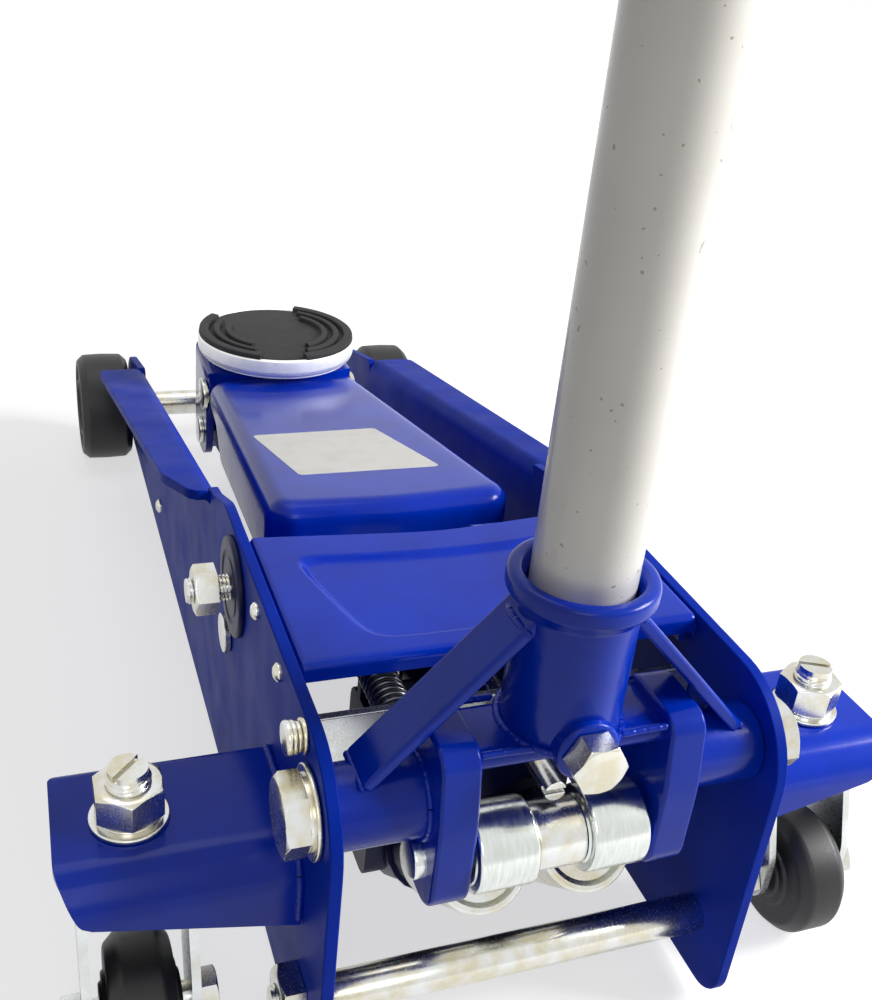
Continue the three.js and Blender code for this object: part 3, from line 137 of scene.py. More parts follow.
def surface(grid: np.ndarray, wrap_rows: bool = False, wrap_columns: bool = True,
            capped: bool = False) -> Body:
    """Makes a body of a grid of points.

    Args:
        grid: Points in rows and columns, with the three coordinates last.
        wrap_rows: Whether the last row joins the first.
        wrap_columns: Whether each row closes on itself.
        capped: Whether a face closes the first row and another the last.

    Returns:
        The body.
    """
    rows, columns = grid.shape[:2]
    faces = grid_faces(rows, columns, wrap_rows, wrap_columns)
    if capped:
        faces.append(tuple(range(columns)))
        faces.append(tuple(range((rows - 1) * columns, rows * columns)))
    return Body(grid.reshape(-1, 3), faces)


def rounded(corners: Sequence[tuple[float, ...]], steps: int = 8, closed: bool = True) -> np.ndarray:
    """Draws an outline whose corners are true arcs.

    At a corner with radius r the two sides are left and joined at the distance
    r / tan(half the corner's angle), on an arc about a centre on the bisector.

    Args:
        corners: Each corner's two coordinates and, where it is rounded, its radius.
        steps: How many pieces an arc has.
        closed: Whether the last corner joins the first.

    Returns:
        The outline's points, two coordinates each.
    """
    count = len(corners)
    place = np.array([corner[:2] for corner in corners], float)
    drawn: list[np.ndarray] = []
    for i, corner in enumerate(corners):
        radius = corner[2] if len(corner) > 2 else 0.0
        if radius == 0 or (not closed and i in (0, count - 1)):
            drawn.append(place[i:i + 1])
            continue
        back = place[i - 1] - place[i]
        ahead = place[(i + 1) % count] - place[i]
        reach = min(np.linalg.norm(back), np.linalg.norm(ahead)) / 2
        back = back / np.linalg.norm(back)
        ahead = ahead / np.linalg.norm(ahead)
        if back @ ahead < -0.9999:
            drawn.append(place[i:i + 1])
            continue
        half = math.acos(float(np.clip(back @ ahead, -1, 1))) / 2
        leave = min(radius / math.tan(half), reach)
        arc = leave * math.tan(half)
        bisector = (back + ahead) / np.linalg.norm(back + ahead)
        centre = place[i] + bisector * (arc / math.sin(half))
        first = place[i] + back * leave - centre
        last = place[i] + ahead * leave - centre
        sweep = math.atan2(first[0] * last[1] - first[1] * last[0], float(first @ last))
        turn = sweep * np.linspace(0, 1, steps + 1)
        drawn.append(centre + np.stack([
            first[0] * np.cos(turn) - first[1] * np.sin(turn),
            first[0] * np.sin(turn) + first[1] * np.cos(turn),
        ], axis=-1))
    return np.concatenate(drawn)


def across(direction: np.ndarray) -> tuple[np.ndarray, np.ndarray]:
    """Finds two unit directions square to the given one and to each other.

    Args:
        direction: The given unit direction.

    Returns:
        The two directions.
    """
    start = np.array([0.0, 0.0, 1.0]) if abs(direction[2]) < 0.9 else np.array([1.0, 0.0, 0.0])
    side = np.cross(start, direction)
    side = side / np.linalg.norm(side)
    return side, np.cross(direction, side)


def turned(profile: Sequence[tuple[float, ...]], axis: Sequence[float],
           at: Sequence[float] = (0, 0, 0), segments: int = 64, closed: bool = False) -> Body:
    """Turns a profile about an axis.

    A point at angle a is the place, plus its distance along the axis, plus its
    radius times the cosine and the sine of a in the two directions square to it.

    Args:
        profile: Each corner's radius and distance along the axis, and its rounding.
        axis: The axis's direction.
        at: The place from which the distances count.
        segments: How many steps go round.
        closed: Whether the profile is a ring that never meets the axis.

    Returns:
        The body.
    """
    points = rounded(profile, 5, closed)
    forward = np.array(axis, float) / np.linalg.norm(axis)
    side, up = across(forward)
    angle = 2 * np.pi * np.arange(segments) / segments
    spoke = np.cos(angle)[:, None] * side + np.sin(angle)[:, None] * up
    grid = np.array(at, float) + points[:, 1, None, None] * forward + points[:, 0, None, None] * spoke
    return surface(grid, wrap_rows=closed)


def hexagon_head(across_flats: float, axis: Sequence[float], at: Sequence[float], height: float,
                 bore: float = 0.0, crowned: bool = True, both: bool = False) -> Body:
    """Makes a hexagon head or nut whose corners are turned off by a cone.

    At each angle the radius is the lesser of the hexagon's reach, which is half
    its width over the cosine of the angle to the nearest flat, and the cone.

    Args:
        across_flats: Its width between two flats.
        axis: The direction in which it stands up.
        at: The middle of its seat.
        height: Its height.
        bore: The radius of its hole, or 0.
        crowned: Whether the top's corners are turned off.
        both: Whether the seat's corners are turned off too.

    Returns:
        The body.
    """
    segments = 96
    reach = across_flats / math.sqrt(3)
    # The cone is 0.62 of the corners' reach past the flats high, and draws in by 1.9 times its height.
    slope = (reach - across_flats / 2) * 0.62
    top = reach - slope * 1.9 if crowned else reach
    heights = [0.0, slope if both else 0.0, height - slope if crowned else height, height]
    cone = [across_flats / 2 * 0.99 if both else reach, reach, reach, top]
    fine = np.linspace(0, 1, 7)
    rise = np.concatenate([np.interp(fine, [0, 1], heights[i:i + 2]) for i in range(3)])
    limit = np.concatenate([np.interp(fine, [0, 1], cone[i:i + 2]) for i in range(3)])
    angle = 2 * np.pi * np.arange(segments) / segments
    flat = angle % (np.pi / 3) - np.pi / 6
    reach_at = across_flats / 2 / np.cos(flat)
    radius = np.minimum(reach_at[None, :], limit[:, None])
    inner = np.full((1, segments), max(bore, 1e-4))
    radius = np.concatenate([inner, radius, inner])
    rise = np.concatenate([[0.0], rise, [height]])
    forward = np.array(axis, float) / np.linalg.norm(axis)
    side, up = across(forward)
    spoke = np.cos(angle)[:, None] * side + np.sin(angle)[:, None] * up
    grid = np.array(at, float) + rise[:, None, None] * forward + radius[:, :, None] * spoke
    return surface(grid, wrap_rows=bore > 0)


def threaded(radius: float, pitch: float, axis: Sequence[float], at: Sequence[float],
             length: float) -> Body:
    """Makes a threaded stub with a turned-off end.

    The radius falls by the thread's depth times a triangle wave of the distance
    along the axis less the angle's share of a pitch, so the ridge is a helix.

    Args:
        radius: The radius over the thread.
        pitch: The distance between two turns.
        axis: The direction in which it stands out.
        at: The middle of its root.
        length: How far it stands out.

    Returns:
        The body.
    """
    segments, rows_per_turn = 48, 6
    rows = max(int(length / pitch * rows_per_turn), 8)
    along = np.linspace(0, length, rows)[:, None]
    angle = 2 * np.pi * np.arange(segments)[None, :] / segments
    phase = (along / pitch - angle / (2 * np.pi)) % 1
    depth = 0.55 * pitch * np.abs(2 * phase - 1)
    # Over the last 0.9 of a pitch the ridge is turned off, down to 0.86 of the radius.
    turned_off = np.clip((length - along) / (pitch * 0.9), 0, 1) * radius * 0.14
    size = np.minimum(radius - depth, radius * 0.86 + turned_off)
    forward = np.array(axis, float) / np.linalg.norm(axis)
    side, up = across(forward)
    spoke = np.cos(angle)[..., None] * side + np.sin(angle)[..., None] * up
    grid = np.array(at, float) + along[..., None] * forward + size[..., None] * spoke
    return surface(grid, capped=True)


def prism(outline: np.ndarray, axis: Axis, start: float, end: float) -> Body:
    """Stretches a flat outline along an axis.

    Args:
        outline: Its points: (Y, Z) along X, (X, Z) along Y, or (X, Y) along Z.
        axis: The direction of stretching.
        start: The place of its first face.
        end: The place of its last face.

    Returns:
        The body.
    """
    order = {Axis.X: [2, 0, 1], Axis.Y: [0, 2, 1], Axis.Z: [0, 1, 2]}[axis]
    rows = [np.column_stack([outline, np.full(len(outline), place)]) for place in (start, end)]
    return surface(np.stack(rows)[:, :, order], capped=True)


def carried(section: np.ndarray, path: np.ndarray, closed_path: bool = False) -> Body:
    """Carries a closed section along a path.

    At each point of the path the section's two coordinates run along two
    directions square to the path: one as near to the vertical as can be.

    Args:
        section: The section's points, or one section for each point of the path.
        path: The path's points.
        closed_path: Whether the path closes on itself.

    Returns:
        The body.
    """
    if closed_path:
        ahead = np.roll(path, -1, axis=0) - np.roll(path, 1, axis=0)
    else:
        ahead = np.gradient(path, axis=0)
    ahead = ahead / np.linalg.norm(ahead, axis=1, keepdims=True)
    upward = np.where(np.abs(ahead[:, 2:3]) < 0.92, [[0.0, 0.0, 1.0]], [[0.0, 1.0, 0.0]])
    side = np.cross(ahead, upward)
    side = side / np.linalg.norm(side, axis=1, keepdims=True)
    rise = np.cross(side, ahead)
    sections = section if section.ndim == 3 else np.broadcast_to(section, (len(path), *section.shape))
    grid = (path[:, None, :] + sections[:, :, 0:1] * side[:, None, :]
            + sections[:, :, 1:2] * rise[:, None, :])
    return surface(grid, wrap_rows=closed_path, capped=not closed_path)


def weld_bead(path: np.ndarray, width: float = 4.0, ripple: float = 2.2) -> Body:
    """Lays a weld bead along a path: a round bar that swells once per ripple.

    Its ends taper by the square root of the distance from them, within half its width.

    Args:
        path: The path's points.
        width: The bead's width.
        ripple: The distance between two swellings.

    Returns:
        The body.
    """
    step = np.linalg.norm(np.diff(path, axis=0), axis=1)
    far = np.concatenate([[0.0], np.cumsum(step)])
    count = max(int(far[-1] / ripple * 5), 6)
    even = np.linspace(0, far[-1], count)
    evened = np.stack([np.interp(even, far, path[:, i]) for i in range(3)], axis=-1)
    end = np.sqrt(np.clip(np.minimum(even, far[-1] - even) / (width * 0.5), 0.02, 1))
    swell = (1 - 0.08 * np.abs(np.sin(np.pi * even / ripple)) + 0.04 * np.sin(even * 1.7)) * end
    angle = 2 * np.pi * np.arange(14) / 14
    ring = np.stack([np.cos(angle), np.sin(angle)], axis=-1) * width / 2
    return carried(ring[None] * swell[:, None, None], evened)


def line(*points: tuple[float, float, float]) -> np.ndarray:
    """Returns a path through the given points."""
    return np.array(points, float)


def arc_path(centre: Sequence[float], radius: float, axis: Axis, start: float, end: float,
             steps: int = 40) -> np.ndarray:
    """Draws part of a circle about an axis: the centre plus the radius times each angle's cosine and sine.

    Args:
        centre: The circle's centre.
        radius: Its radius.
        axis: The axis that it goes round.
        start: The first angle in degrees.
        end: The last one.
        steps: How many points are drawn.

    Returns:
        The points.
    """
    forward = np.array(axis.value)
    side, up = across(forward)
    angle = np.radians(np.linspace(start, end, steps))
    return np.array(centre, float) + radius * (np.cos(angle)[:, None] * side + np.sin(angle)[:, None] * up)


# Finishes


def linear(colour: str) -> tuple[float, float, float, float]:
    """Turns an sRGB hex colour to linear light.

    Each channel over 0.04045 is ((c + 0.055) / 1.055) to the power 2.4, and any other is c / 12.92.

    Args:
        colour: Six hex digits.

    Returns:
        Linear red, green, blue and an alpha of 1.
    """
    channels = np.array([int(colour[i:i + 2], 16) for i in (0, 2, 4)]) / 255
    light = np.where(channels > 0.04045, ((channels + 0.055) / 1.055) ** 2.4, channels / 12.92)
    return (*light.tolist(), 1.0)


def add_node(material: bpy.types.Material, kind: str, links: dict | None = None,
             **settings: object) -> bpy.types.Node:
    """Adds a node to a material.

    Args:
        material: The material.
        kind: The node's type name.
        links: Its inputs by name or number: a socket to link, or a value to set.
        **settings: Its own settings.

    Returns:
        The node.
    """
    node = material.node_tree.nodes.new(kind)
    for name, value in settings.items():
        setattr(node, name, value)
    for name, value in (links or {}).items():
        if isinstance(value, bpy.types.NodeSocket):
            material.node_tree.links.new(value, node.inputs[name])
        else:
            node.inputs[name].default_value = value
    return node


def new_material(name: str) -> bpy.types.Material:
    """Makes an empty material with nodes.

    Args:
        name: Its name.

    Returns:
        The material.
    """
    material = bpy.data.materials.new(name)
    material.use_nodes = True
    material.node_tree.nodes.clear()
    return material


def per_size(size: float) -> float:
    """Returns the scale at which a noise's features are this many millimetres wide."""
    return 1 / (size * MM)


def grain(material: bpy.types.Material, size: float, detail: float = 2.0,
          stretch: tuple[float, float, float] = (1.0, 1.0, 1.0)) -> bpy.types.NodeSocket:
    """Lays a noise over the piece's own space.

    Args:
        material: The material.
        size: The width of its features in millimetres.
        detail: How many finer layers it has.
        stretch: How many times finer or coarser it runs along X, Y and Z.

    Returns:
        The noise's value.
    """
    place = add_node(material, "ShaderNodeTexCoord").outputs["Object"]
    if stretch != (1.0, 1.0, 1.0):
        place = add_node(material, "ShaderNodeMapping", {"Vector": place, "Scale": stretch}).outputs[0]
    return add_node(material, "ShaderNodeTexNoise", {
        "Vector": place, "Scale": per_size(size), "Detail": detail, "Roughness": 0.55,
    }).outputs["Fac"]


def clouded(material: bpy.types.Material, value: bpy.types.NodeSocket, between: tuple[float, float],
            first: object, second: object) -> bpy.types.NodeSocket:
    """Blends two colours where a value runs from one bound to the other.

    Args:
        material: The material.
        value: The value that decides.
        between: The value at which only the first colour is left, and that for the second.
        first: A colour's socket, or a linear colour.
        second: The other colour.

    Returns:
        The blended colour.
    """
    share = add_node(material, "ShaderNodeMapRange", {
        "Value": value, "From Min": between[0], "From Max": between[1], "To Min": 0.0, "To Max": 1.0,
    }).outputs[0]
    return add_node(material, "ShaderNodeMix", {0: share, 6: first, 7: second},
                    data_type="RGBA").outputs[2]


def surfaced(material: bpy.types.Material, tone: bpy.types.NodeSocket, value: bpy.types.NodeSocket,
              rough: tuple[float, float], relief: Sequence[tuple[bpy.types.NodeSocket, float]],
              others: dict) -> bpy.types.Material:
    """Finishes a material: a roughness that varies with a value, over one or more reliefs.

    Args:
        material: The material.
        tone: Its colour.
        value: The value that the roughness follows, from 0.3 to 0.7.
        rough: The roughness at both ends.
        relief: Each relief's height, from 0 to 1, and the depth in millimetres that it stands for.
        others: The surface's other inputs.

    Returns:
        The material.
    """
    roughness = add_node(material, "ShaderNodeMapRange", {
        "Value": value, "From Min": 0.3, "From Max": 0.7, "To Min": rough[0], "To Max": rough[1],
    }).outputs[0]
    normal = None
    for height, depth in relief:
        links = {"Height": height, "Distance": depth * MM, "Strength": 1.0}
        if normal is not None:
            links["Normal"] = normal
        normal = add_node(material, "ShaderNodeBump", links).outputs[0]
    shader = add_node(material, "ShaderNodeBsdfPrincipled", {
        "Base Color": tone, "Roughness": roughness, "Normal": normal, **others,
    })
    add_node(material, "ShaderNodeOutputMaterial", {"Surface": shader.outputs[0]})
    return material


@dataclass(frozen=True)
class Enamel:
    """Stoved enamel on steel: an even colour under a shine whose reflections waver a little."""

    name: str
    colour: str
    shade: str
    roughness: float
    peel: float = 3.2
    peel_height: float = 0.012
    grain_height: float = 0.0
    shine: float = 0.22
    # How wide the patches of tone and of roughness are, in millimetres.
    tone_patch: float = 38.0
    rough_patch: float = 24.0
    # A casting's grain is finer in truth, and is drawn as coarse as it needs to show.
    sand: float = 1.1

    def make(self) -> bpy.types.Material:
        """Lays out this finish's nodes.

        Returns:
            The material.
        """
        material = new_material(self.name)
        tone = clouded(material, grain(material, self.tone_patch, 3), (0.35, 0.65), linear(self.colour),
                       linear(self.shade))
        relief = [(grain(material, self.peel, 1), self.peel_height)]
        if self.grain_height > 0:
            relief.append((grain(material, self.sand, 3), self.grain_height))
        return surfaced(material, tone, grain(material, self.rough_patch, 2),
                        (self.roughness * 0.92, self.roughness * 1.1), relief,
                        {"IOR": 1.5, "Specular IOR Level": self.shine})


@dataclass(frozen=True)
class ZincPlate:
    """Zinc-plated steel: a bright metal with a straw-coloured cast that comes and goes."""

    name: str
    bright: str
    straw: str
    roughness: float
    patch: float = 9.0
    # The plating's grain is finer in truth, and is drawn as coarse as it needs to show.
    crystal: float = 0.9
    crystal_height: float = 0.012

    def make(self) -> bpy.types.Material:
        """Lays out this finish's nodes.

        Returns:
            The material.
        """
        material = new_material(self.name)
        tone = clouded(material, grain(material, self.patch, 3), (0.38, 0.62), linear(self.bright),
                       linear(self.straw))
        fine = grain(material, self.crystal, 3)
        return surfaced(material, tone, fine, (self.roughness * 0.8, self.roughness * 1.3),
                        [(fine, self.crystal_height)], {"Metallic": 1.0})


@dataclass(frozen=True)
class TurnedSteel:
    """Bright turned steel: fine rings left by the tool draw its shine out across them."""

    name: str
    colour: str
    shade: str
    roughness: float
    stretch: tuple[float, float, float]
    # The tool's rings are finer in truth, and are drawn as coarse as they need to show.
    ring: float = 1.4
    ring_height: float = 0.014

    def make(self) -> bpy.types.Material:
        """Lays out this finish's nodes.

        Returns:
            The material.
        """
        material = new_material(self.name)
        rings = grain(material, self.ring, 4, self.stretch)
        tone = clouded(material, rings, (0.35, 0.65), linear(self.colour), linear(self.shade))
        return surfaced(material, tone, rings, (self.roughness * 0.75, self.roughness * 1.35),
                        [(rings, self.ring_height)], {"Metallic": 1.0})


@dataclass(frozen=True)
class Moulding:
    """Moulded nylon or rubber: a dark matt skin with a fine grain."""

    name: str
    colour: str
    dusty: str
    roughness: float
    # The skin's grain is finer in truth, and is drawn as coarse as it needs to show.
    skin: float
    skin_height: float
    ior: float = 1.5
    dust_patch: float = 13.0

    def make(self) -> bpy.types.Material:
        """Lays out this finish's nodes.

        Returns:
            The material.
        """
        material = new_material(self.name)
        tone = clouded(material, grain(material, self.dust_patch, 4), (0.42, 0.75), linear(self.colour),
                       linear(self.dusty))
        skin = grain(material, self.skin, 3)
        return surfaced(material, tone, skin, (self.roughness * 0.88, min(self.roughness * 1.15, 1.0)),
                        [(skin, self.skin_height)], {"IOR": self.ior})


@dataclass(frozen=True)
class SpeckledEnamel:
    """Cream gloss paint on steel tube: a shine with small dark specks and a faint orange-peel."""

    name: str
    colour: str
    shade: str
    speck: str
    roughness: float
    # How wide the patches of tone, of specks and of roughness are, and the orange-peel, in millimetres.
    tone_patch: float = 60.0
    speck_patch: float = 3.4
    rough_patch: float = 20.0
    peel: float = 4.5
    peel_height: float = 0.014

    def make(self) -> bpy.types.Material:
        """Lays out this finish's nodes.

        Returns:
            The material.
        """
        material = new_material(self.name)
        tone = clouded(material, grain(material, self.tone_patch, 3), (0.35, 0.65), linear(self.colour),
                       linear(self.shade))
        # Only the noise's few highest peaks pass this bound, and they are the specks.
        tone = clouded(material, grain(material, self.speck_patch, 1), (0.735, 0.76), tone,
                       linear(self.speck))
        return surfaced(material, tone, grain(material, self.rough_patch, 3),
                        (self.roughness * 0.8, self.roughness * 1.3),
                        [(grain(material, self.peel, 1), self.peel_height)],
                        {"IOR": 1.5, "Coat Weight": 0.3, "Coat Roughness": 0.06})


class Finish(Enum):
    """The jack's finishes, each with its recipe and the slot of the record that it answers to."""

    # Royal-blue stoved enamel on pressed steel: deep and glossy, with a soft wavering shine.
    PLATE_ENAMEL = (Enamel("royal_blue_enamel_on_pressed_steel", "0236c4", "012db0", 0.18, 2.6, 0.026),
                    "blue_paint")
    # The same enamel on thick rolled plate: its shine is broader and quieter.
    SHEET_ENAMEL = (Enamel("royal_blue_enamel_on_rolled_plate", "0230b0", "012aa0", 0.5, 2.6, 0.01, 0.0,
                           0.08), "blue_paint")
    # The same enamel over a casting's sand-rough skin: duller, and darker in its hollows.
    CAST_ENAMEL = (Enamel("blue_enamel_on_casting", "0234b8", "0129a4", 0.22, 4.2, 0.08, 0.03),
                   "blue_paint")
    # Dark blue paint on the pump's cast block: nearly black where no light falls.
    BLOCK_ENAMEL = (Enamel("dark_blue_paint_on_iron", "0a154e", "070d36", 0.38, 5.0, 0.05, 0.03),
                    "dark_blue_paint")
    # Bright zinc plate with a straw cast, as on hexagon heads, nuts and washers.
    ZINC = (ZincPlate("straw_zinc_plated_steel", "dcdedd", "d0cab4", 0.22, 12.0), "zinc_plate")
    # Plain zinc plate, duller and greyer, as on pressed pieces.
    DULL_ZINC = (ZincPlate("clear_zinc_plated_steel", "d9dcde", "c6c8c4", 0.3, 16.0), "zinc_plate")
    # Steel turned about X, as on rollers and pins.
    TURNED_STEEL = (TurnedSteel("turned_bright_steel", "dee2e0", "cdd2cc", 0.2, (1.0, 0.16, 0.16)),
                    "bright_steel")
    # Ground rod with its rings across Y.
    GROUND_ROD = (TurnedSteel("ground_ram_steel", "d9dbdc", "c8cacb", 0.16, (0.06, 1.0, 0.06)),
                  "bright_steel")
    # Black nylon moulding: a soft low shine on the wheels.
    NYLON = (Moulding("black_moulded_nylon", "141416", "1d1d20", 0.46, 0.9, 0.02), "black_nylon")
    # Black rubber moulding: dull, with a dusty grain, on the saddle pad and the grip.
    RUBBER = (Moulding("black_moulded_rubber", "19191b", "242427", 0.72, 0.8, 0.03, 1.52),
              "black_rubber")
    # Cream stoved enamel on the handle's tubes.
    CREAM = (SpeckledEnamel("cream_enamel_on_tube", "efece4", "e6e3da", "b4ad9d", 0.3), "cream_paint")
    # Matt galvanised plate: a pale, nearly white band round the saddle.
    GALVANISED = (ZincPlate("matt_galvanised_steel", "f8f8f6", "efefed", 0.62, 16.0), "zinc_plate")
    # Oil-tempered spring wire: grey, with a low steely shine.
    SPRING = (ZincPlate("tempered_spring_wire", "8c8e92", "76787c", 0.34, 5.0), "spring_steel")
    # Bare paper-white sticker, matt, with nothing printed on it.
    LABEL = (Moulding("blank_white_sticker", "eceae6", "e2e0dc", 0.5, 2.0, 0.004), None)

    def material(self) -> bpy.types.Material:
        """Finds this finish's material, and makes it at its first use.

        Returns:
            The material.
        """
        recipe = self.value[0]
        known = bpy.data.materials.get(recipe.name)
        return known if known is not None else recipe.make()

    def slot(self) -> str | None:
        """Returns the slot of the record that this finish answers to."""
        return self.value[1]


# Pieces


@dataclass(frozen=True)
class Edge:
    """How a piece's edges are softened: the width in millimetres, its steps and the least angle."""

    width: float = 0.8
    steps: int = 2
    angle: float = 32.0


def dress(mesh: bpy.types.Mesh, name: str, finish: Finish, body: str,
          edge: Edge | None = None) -> bpy.types.Object:
    """Gives a mesh its object, material, soft edges and CAD body.

    Args:
        mesh: The mesh, with its place in its points.
        name: The piece's name.
        finish: Its finish.
        body: The CAD body that it moves with.
        edge: How its edges are softened, or None to leave them.

    Returns:
        The object.
    """
    thing = bpy.data.objects.new(name, mesh)
    bpy.context.scene.collection.objects.link(thing)
    mesh.materials.clear()
    mesh.materials.append(finish.material())
    mesh.shade_smooth()
    if edge is not None:
        bevel = thing.modifiers.new("soft_edges", "BEVEL")
        bevel.width = edge.width * MM
        bevel.segments = edge.steps
        bevel.limit_method = "ANGLE"
        bevel.angle_limit = math.radians(edge.angle)
        bevel.harden_normals = True
    else:
        mesh.set_sharp_from_angle(angle=math.radians(SMOOTH_UNDER))
    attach(thing, body)
    LOG.info("%s: %d faces", name, len(mesh.polygons))
    return thing


def make_piece(name: str, bodies: Sequence[Body], finish: Finish, body: str,
               stands_for: Sequence[str] = (), edge: Edge | None = None) -> bpy.types.Object:
    """Makes one piece of bodies drawn in millimetres.

    Args:
        name: The piece's name.
        bodies: Its bodies.
        finish: Its finish.
        body: The CAD body that it moves with.
        stands_for: The CAD nodes that it replaces.
        edge: How its edges are softened, or None to leave them.

    Returns:
        The object.
    """
    counts = np.cumsum([0] + [len(part.points) for part in bodies])
    points = (np.concatenate([part.points for part in bodies]) - [0, CENTRE_Y, 0]) * MM
    faces = [tuple(corner + int(start) for corner in face)
             for part, start in zip(bodies, counts) for face in part.faces]
    mesh = bpy.data.meshes.new(name)
    mesh.from_pydata(points.tolist(), [], faces)
    shape = bmesh.new()
    shape.from_mesh(mesh)
    bmesh.ops.remove_doubles(shape, verts=shape.verts, dist=1e-6)
    bmesh.ops.dissolve_degenerate(shape, edges=shape.edges, dist=1e-7)
    bmesh.ops.recalc_face_normals(shape, faces=shape.faces)
    shape.to_mesh(mesh)
    shape.free()
    thing = dress(mesh, name, finish, body, edge)
    if stands_for:
        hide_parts(*stands_for)
    return thing


def soften(node: str, finish: Finish, edge: Edge, name: str | None = None) -> bpy.types.Object:
    """Replaces a CAD node by its own shape, merged to whole faces and with soft edges.

    Args:
        node: The CAD node.
        finish: Its finish.
        edge: How its edges are softened.
        name: The new piece's name, or None for the node's name with an ending.

    Returns:
        The object.
    """
    source = bpy.data.objects[node]
    mesh = source.data.copy()
    shape = bmesh.new()
    shape.from_mesh(mesh)
    bmesh.ops.remove_doubles(shape, verts=shape.verts, dist=2e-6)
    bmesh.ops.dissolve_limit(shape, angle_limit=math.radians(0.6), verts=shape.verts, edges=shape.edges,
                             use_dissolve_boundaries=False)
    bmesh.ops.dissolve_degenerate(shape, edges=shape.edges, dist=1e-6)
    shape.to_mesh(mesh)
    shape.free()
    for attribute in ("custom_normal", "sharp_face", "sharp_edge"):
        if attribute in mesh.attributes:
            mesh.attributes.remove(mesh.attributes[attribute])
    thing = dress(mesh, name or f"{node}_finished", finish, source["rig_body"], edge)
    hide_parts(node)
    return thing


# The studio


@dataclass
class Studio:
    """A plain pale floor, an even sky, three soft lamps and the photograph's viewpoint."""

    # The viewpoint, in the drawing's millimetres, and its three directions.
    place: tuple[float, float, float] = (-175.78, -291.13, 415.63)
    yaw: float = 22.27
    pitch: float = 27.71
    roll: float = 6.2
    # The focal length over the picture's longer side.
    reach: float = 1.15559
    sensor: float = 36.0
    floor_half: float = 6000.0
    # The floor's colour under the lamps, and that which the camera and mirrors see under its glow.
    floor_lit: str = "bcbcbc"
    floor_seen: str = "cfcfcf"
    # The floor's glow at the nearer distance in metres, and at the farther one.
    glow: tuple[float, float] = (0.62, 1.0)
    glow_from: tuple[float, float] = (0.3, 1.8)
    sky: float = 0.13
    # Each lamp's name, place and size in millimetres, and power in watts.
    lamps: tuple = (
        ("key_lamp", (1450, -350, 980), 700, 37.0),
        ("fill_lamp", (-500, -1500, 1300), 800, 4.5),
        ("top_lamp", (-200, 700, 1900), 1000, 4.0),
    )
    lamps_aim: tuple[float, float, float] = (0, -120, 120)

    def build(self) -> None:
        """Makes the floor, the world, the lamps and the camera."""
        self.build_floor()
        self.build_world()
        self.build_lamps()
        self.build_camera()

    def seen(self, material: bpy.types.Material | bpy.types.World) -> bpy.types.NodeSocket:
        """Tells rays that show a surface from those that only light it.

        Args:
            material: The material or world that asks.

        Returns:
            1 for camera, glossy and transmission rays, and 0 for any other.
        """
        rays = add_node(material, "ShaderNodeLightPath").outputs
        near = add_node(material, "ShaderNodeMath", {0: rays["Is Camera Ray"], 1: rays["Is Glossy Ray"]},
                        operation="MAXIMUM")
        return add_node(material, "ShaderNodeMath", {0: near.outputs[0], 1: rays["Is Transmission Ray"]},
                        operation="MAXIMUM").outputs[0]

    def build_floor(self) -> None:
        """Lays the floor: the camera and mirrors see it near white, with the jack's shadow kept."""
        size = self.floor_half
        floor = Body(np.array([[-size, -size, 0], [size, -size, 0], [size, size, 0], [-size, size, 0]]),
                     [(0, 1, 2, 3)])
        mesh = bpy.data.meshes.new("floor")
        mesh.from_pydata((floor.points * MM).tolist(), [], floor.faces)
        thing = bpy.data.objects.new("floor", mesh)
        bpy.context.scene.collection.objects.link(thing)
        material = new_material("pale_floor")
        lit = add_node(material, "ShaderNodeBsdfDiffuse", {"Color": linear(self.floor_lit)})
        soft = add_node(material, "ShaderNodeBsdfDiffuse", {"Color": linear(self.floor_seen)})
        place = add_node(material, "ShaderNodeTexCoord")
        far = add_node(material, "ShaderNodeVectorMath", {0: place.outputs["Object"]}, operation="LENGTH")
        share = add_node(material, "ShaderNodeMapRange", {
            "Value": far.outputs["Value"], "From Min": self.glow_from[0], "From Max": self.glow_from[1],
            "To Min": self.glow[0], "To Max": self.glow[1],
        }).outputs[0]
        glow = add_node(material, "ShaderNodeEmission", {"Color": (1, 1, 1, 1), "Strength": share})
        pale = add_node(material, "ShaderNodeAddShader", {0: soft.outputs[0], 1: glow.outputs[0]})
        both = add_node(material, "ShaderNodeMixShader", {0: self.seen(material), 1: lit.outputs[0],
                                                          2: pale.outputs[0]})
        add_node(material, "ShaderNodeOutputMaterial", {"Surface": both.outputs[0]})
        mesh.materials.append(material)

    def build_world(self) -> None:
        """Sets a sky that lights evenly and that the camera and mirrors see as white."""
        world = bpy.data.worlds.new("studio_sky")
        world.use_nodes = True
        bpy.context.scene.world = world
        world.node_tree.nodes.clear()
        dim = add_node(world, "ShaderNodeBackground", {"Color": (1, 1, 1, 1), "Strength": self.sky})
        white = add_node(world, "ShaderNodeBackground", {"Color": (1, 1, 1, 1), "Strength": 1.0})
        both = add_node(world, "ShaderNodeMixShader", {0: self.seen(world), 1: dim.outputs[0],
                                                       2: white.outputs[0]})
        add_node(world, "ShaderNodeOutputWorld", {"Surface": both.outputs[0]})

    def build_lamps(self) -> None:
        """Hangs a strong lamp at the right, a weak one behind the viewpoint and one over the saddle end."""
        for name, place, size, power in self.lamps:
            light = bpy.data.lights.new(name, "AREA")
            light.shape = "SQUARE"
            light.size = size * MM
            light.energy = power
            lamp = bpy.data.objects.new(name, light)
            bpy.context.scene.collection.objects.link(lamp)
            spot = (Vector(place) - Vector((0, CENTRE_Y, 0))) * MM
            aim = Vector(self.lamps_aim) * MM - spot
            lamp.location = spot
            lamp.rotation_mode = "QUATERNION"
            lamp.rotation_quaternion = aim.to_track_quat("-Z", "Y")

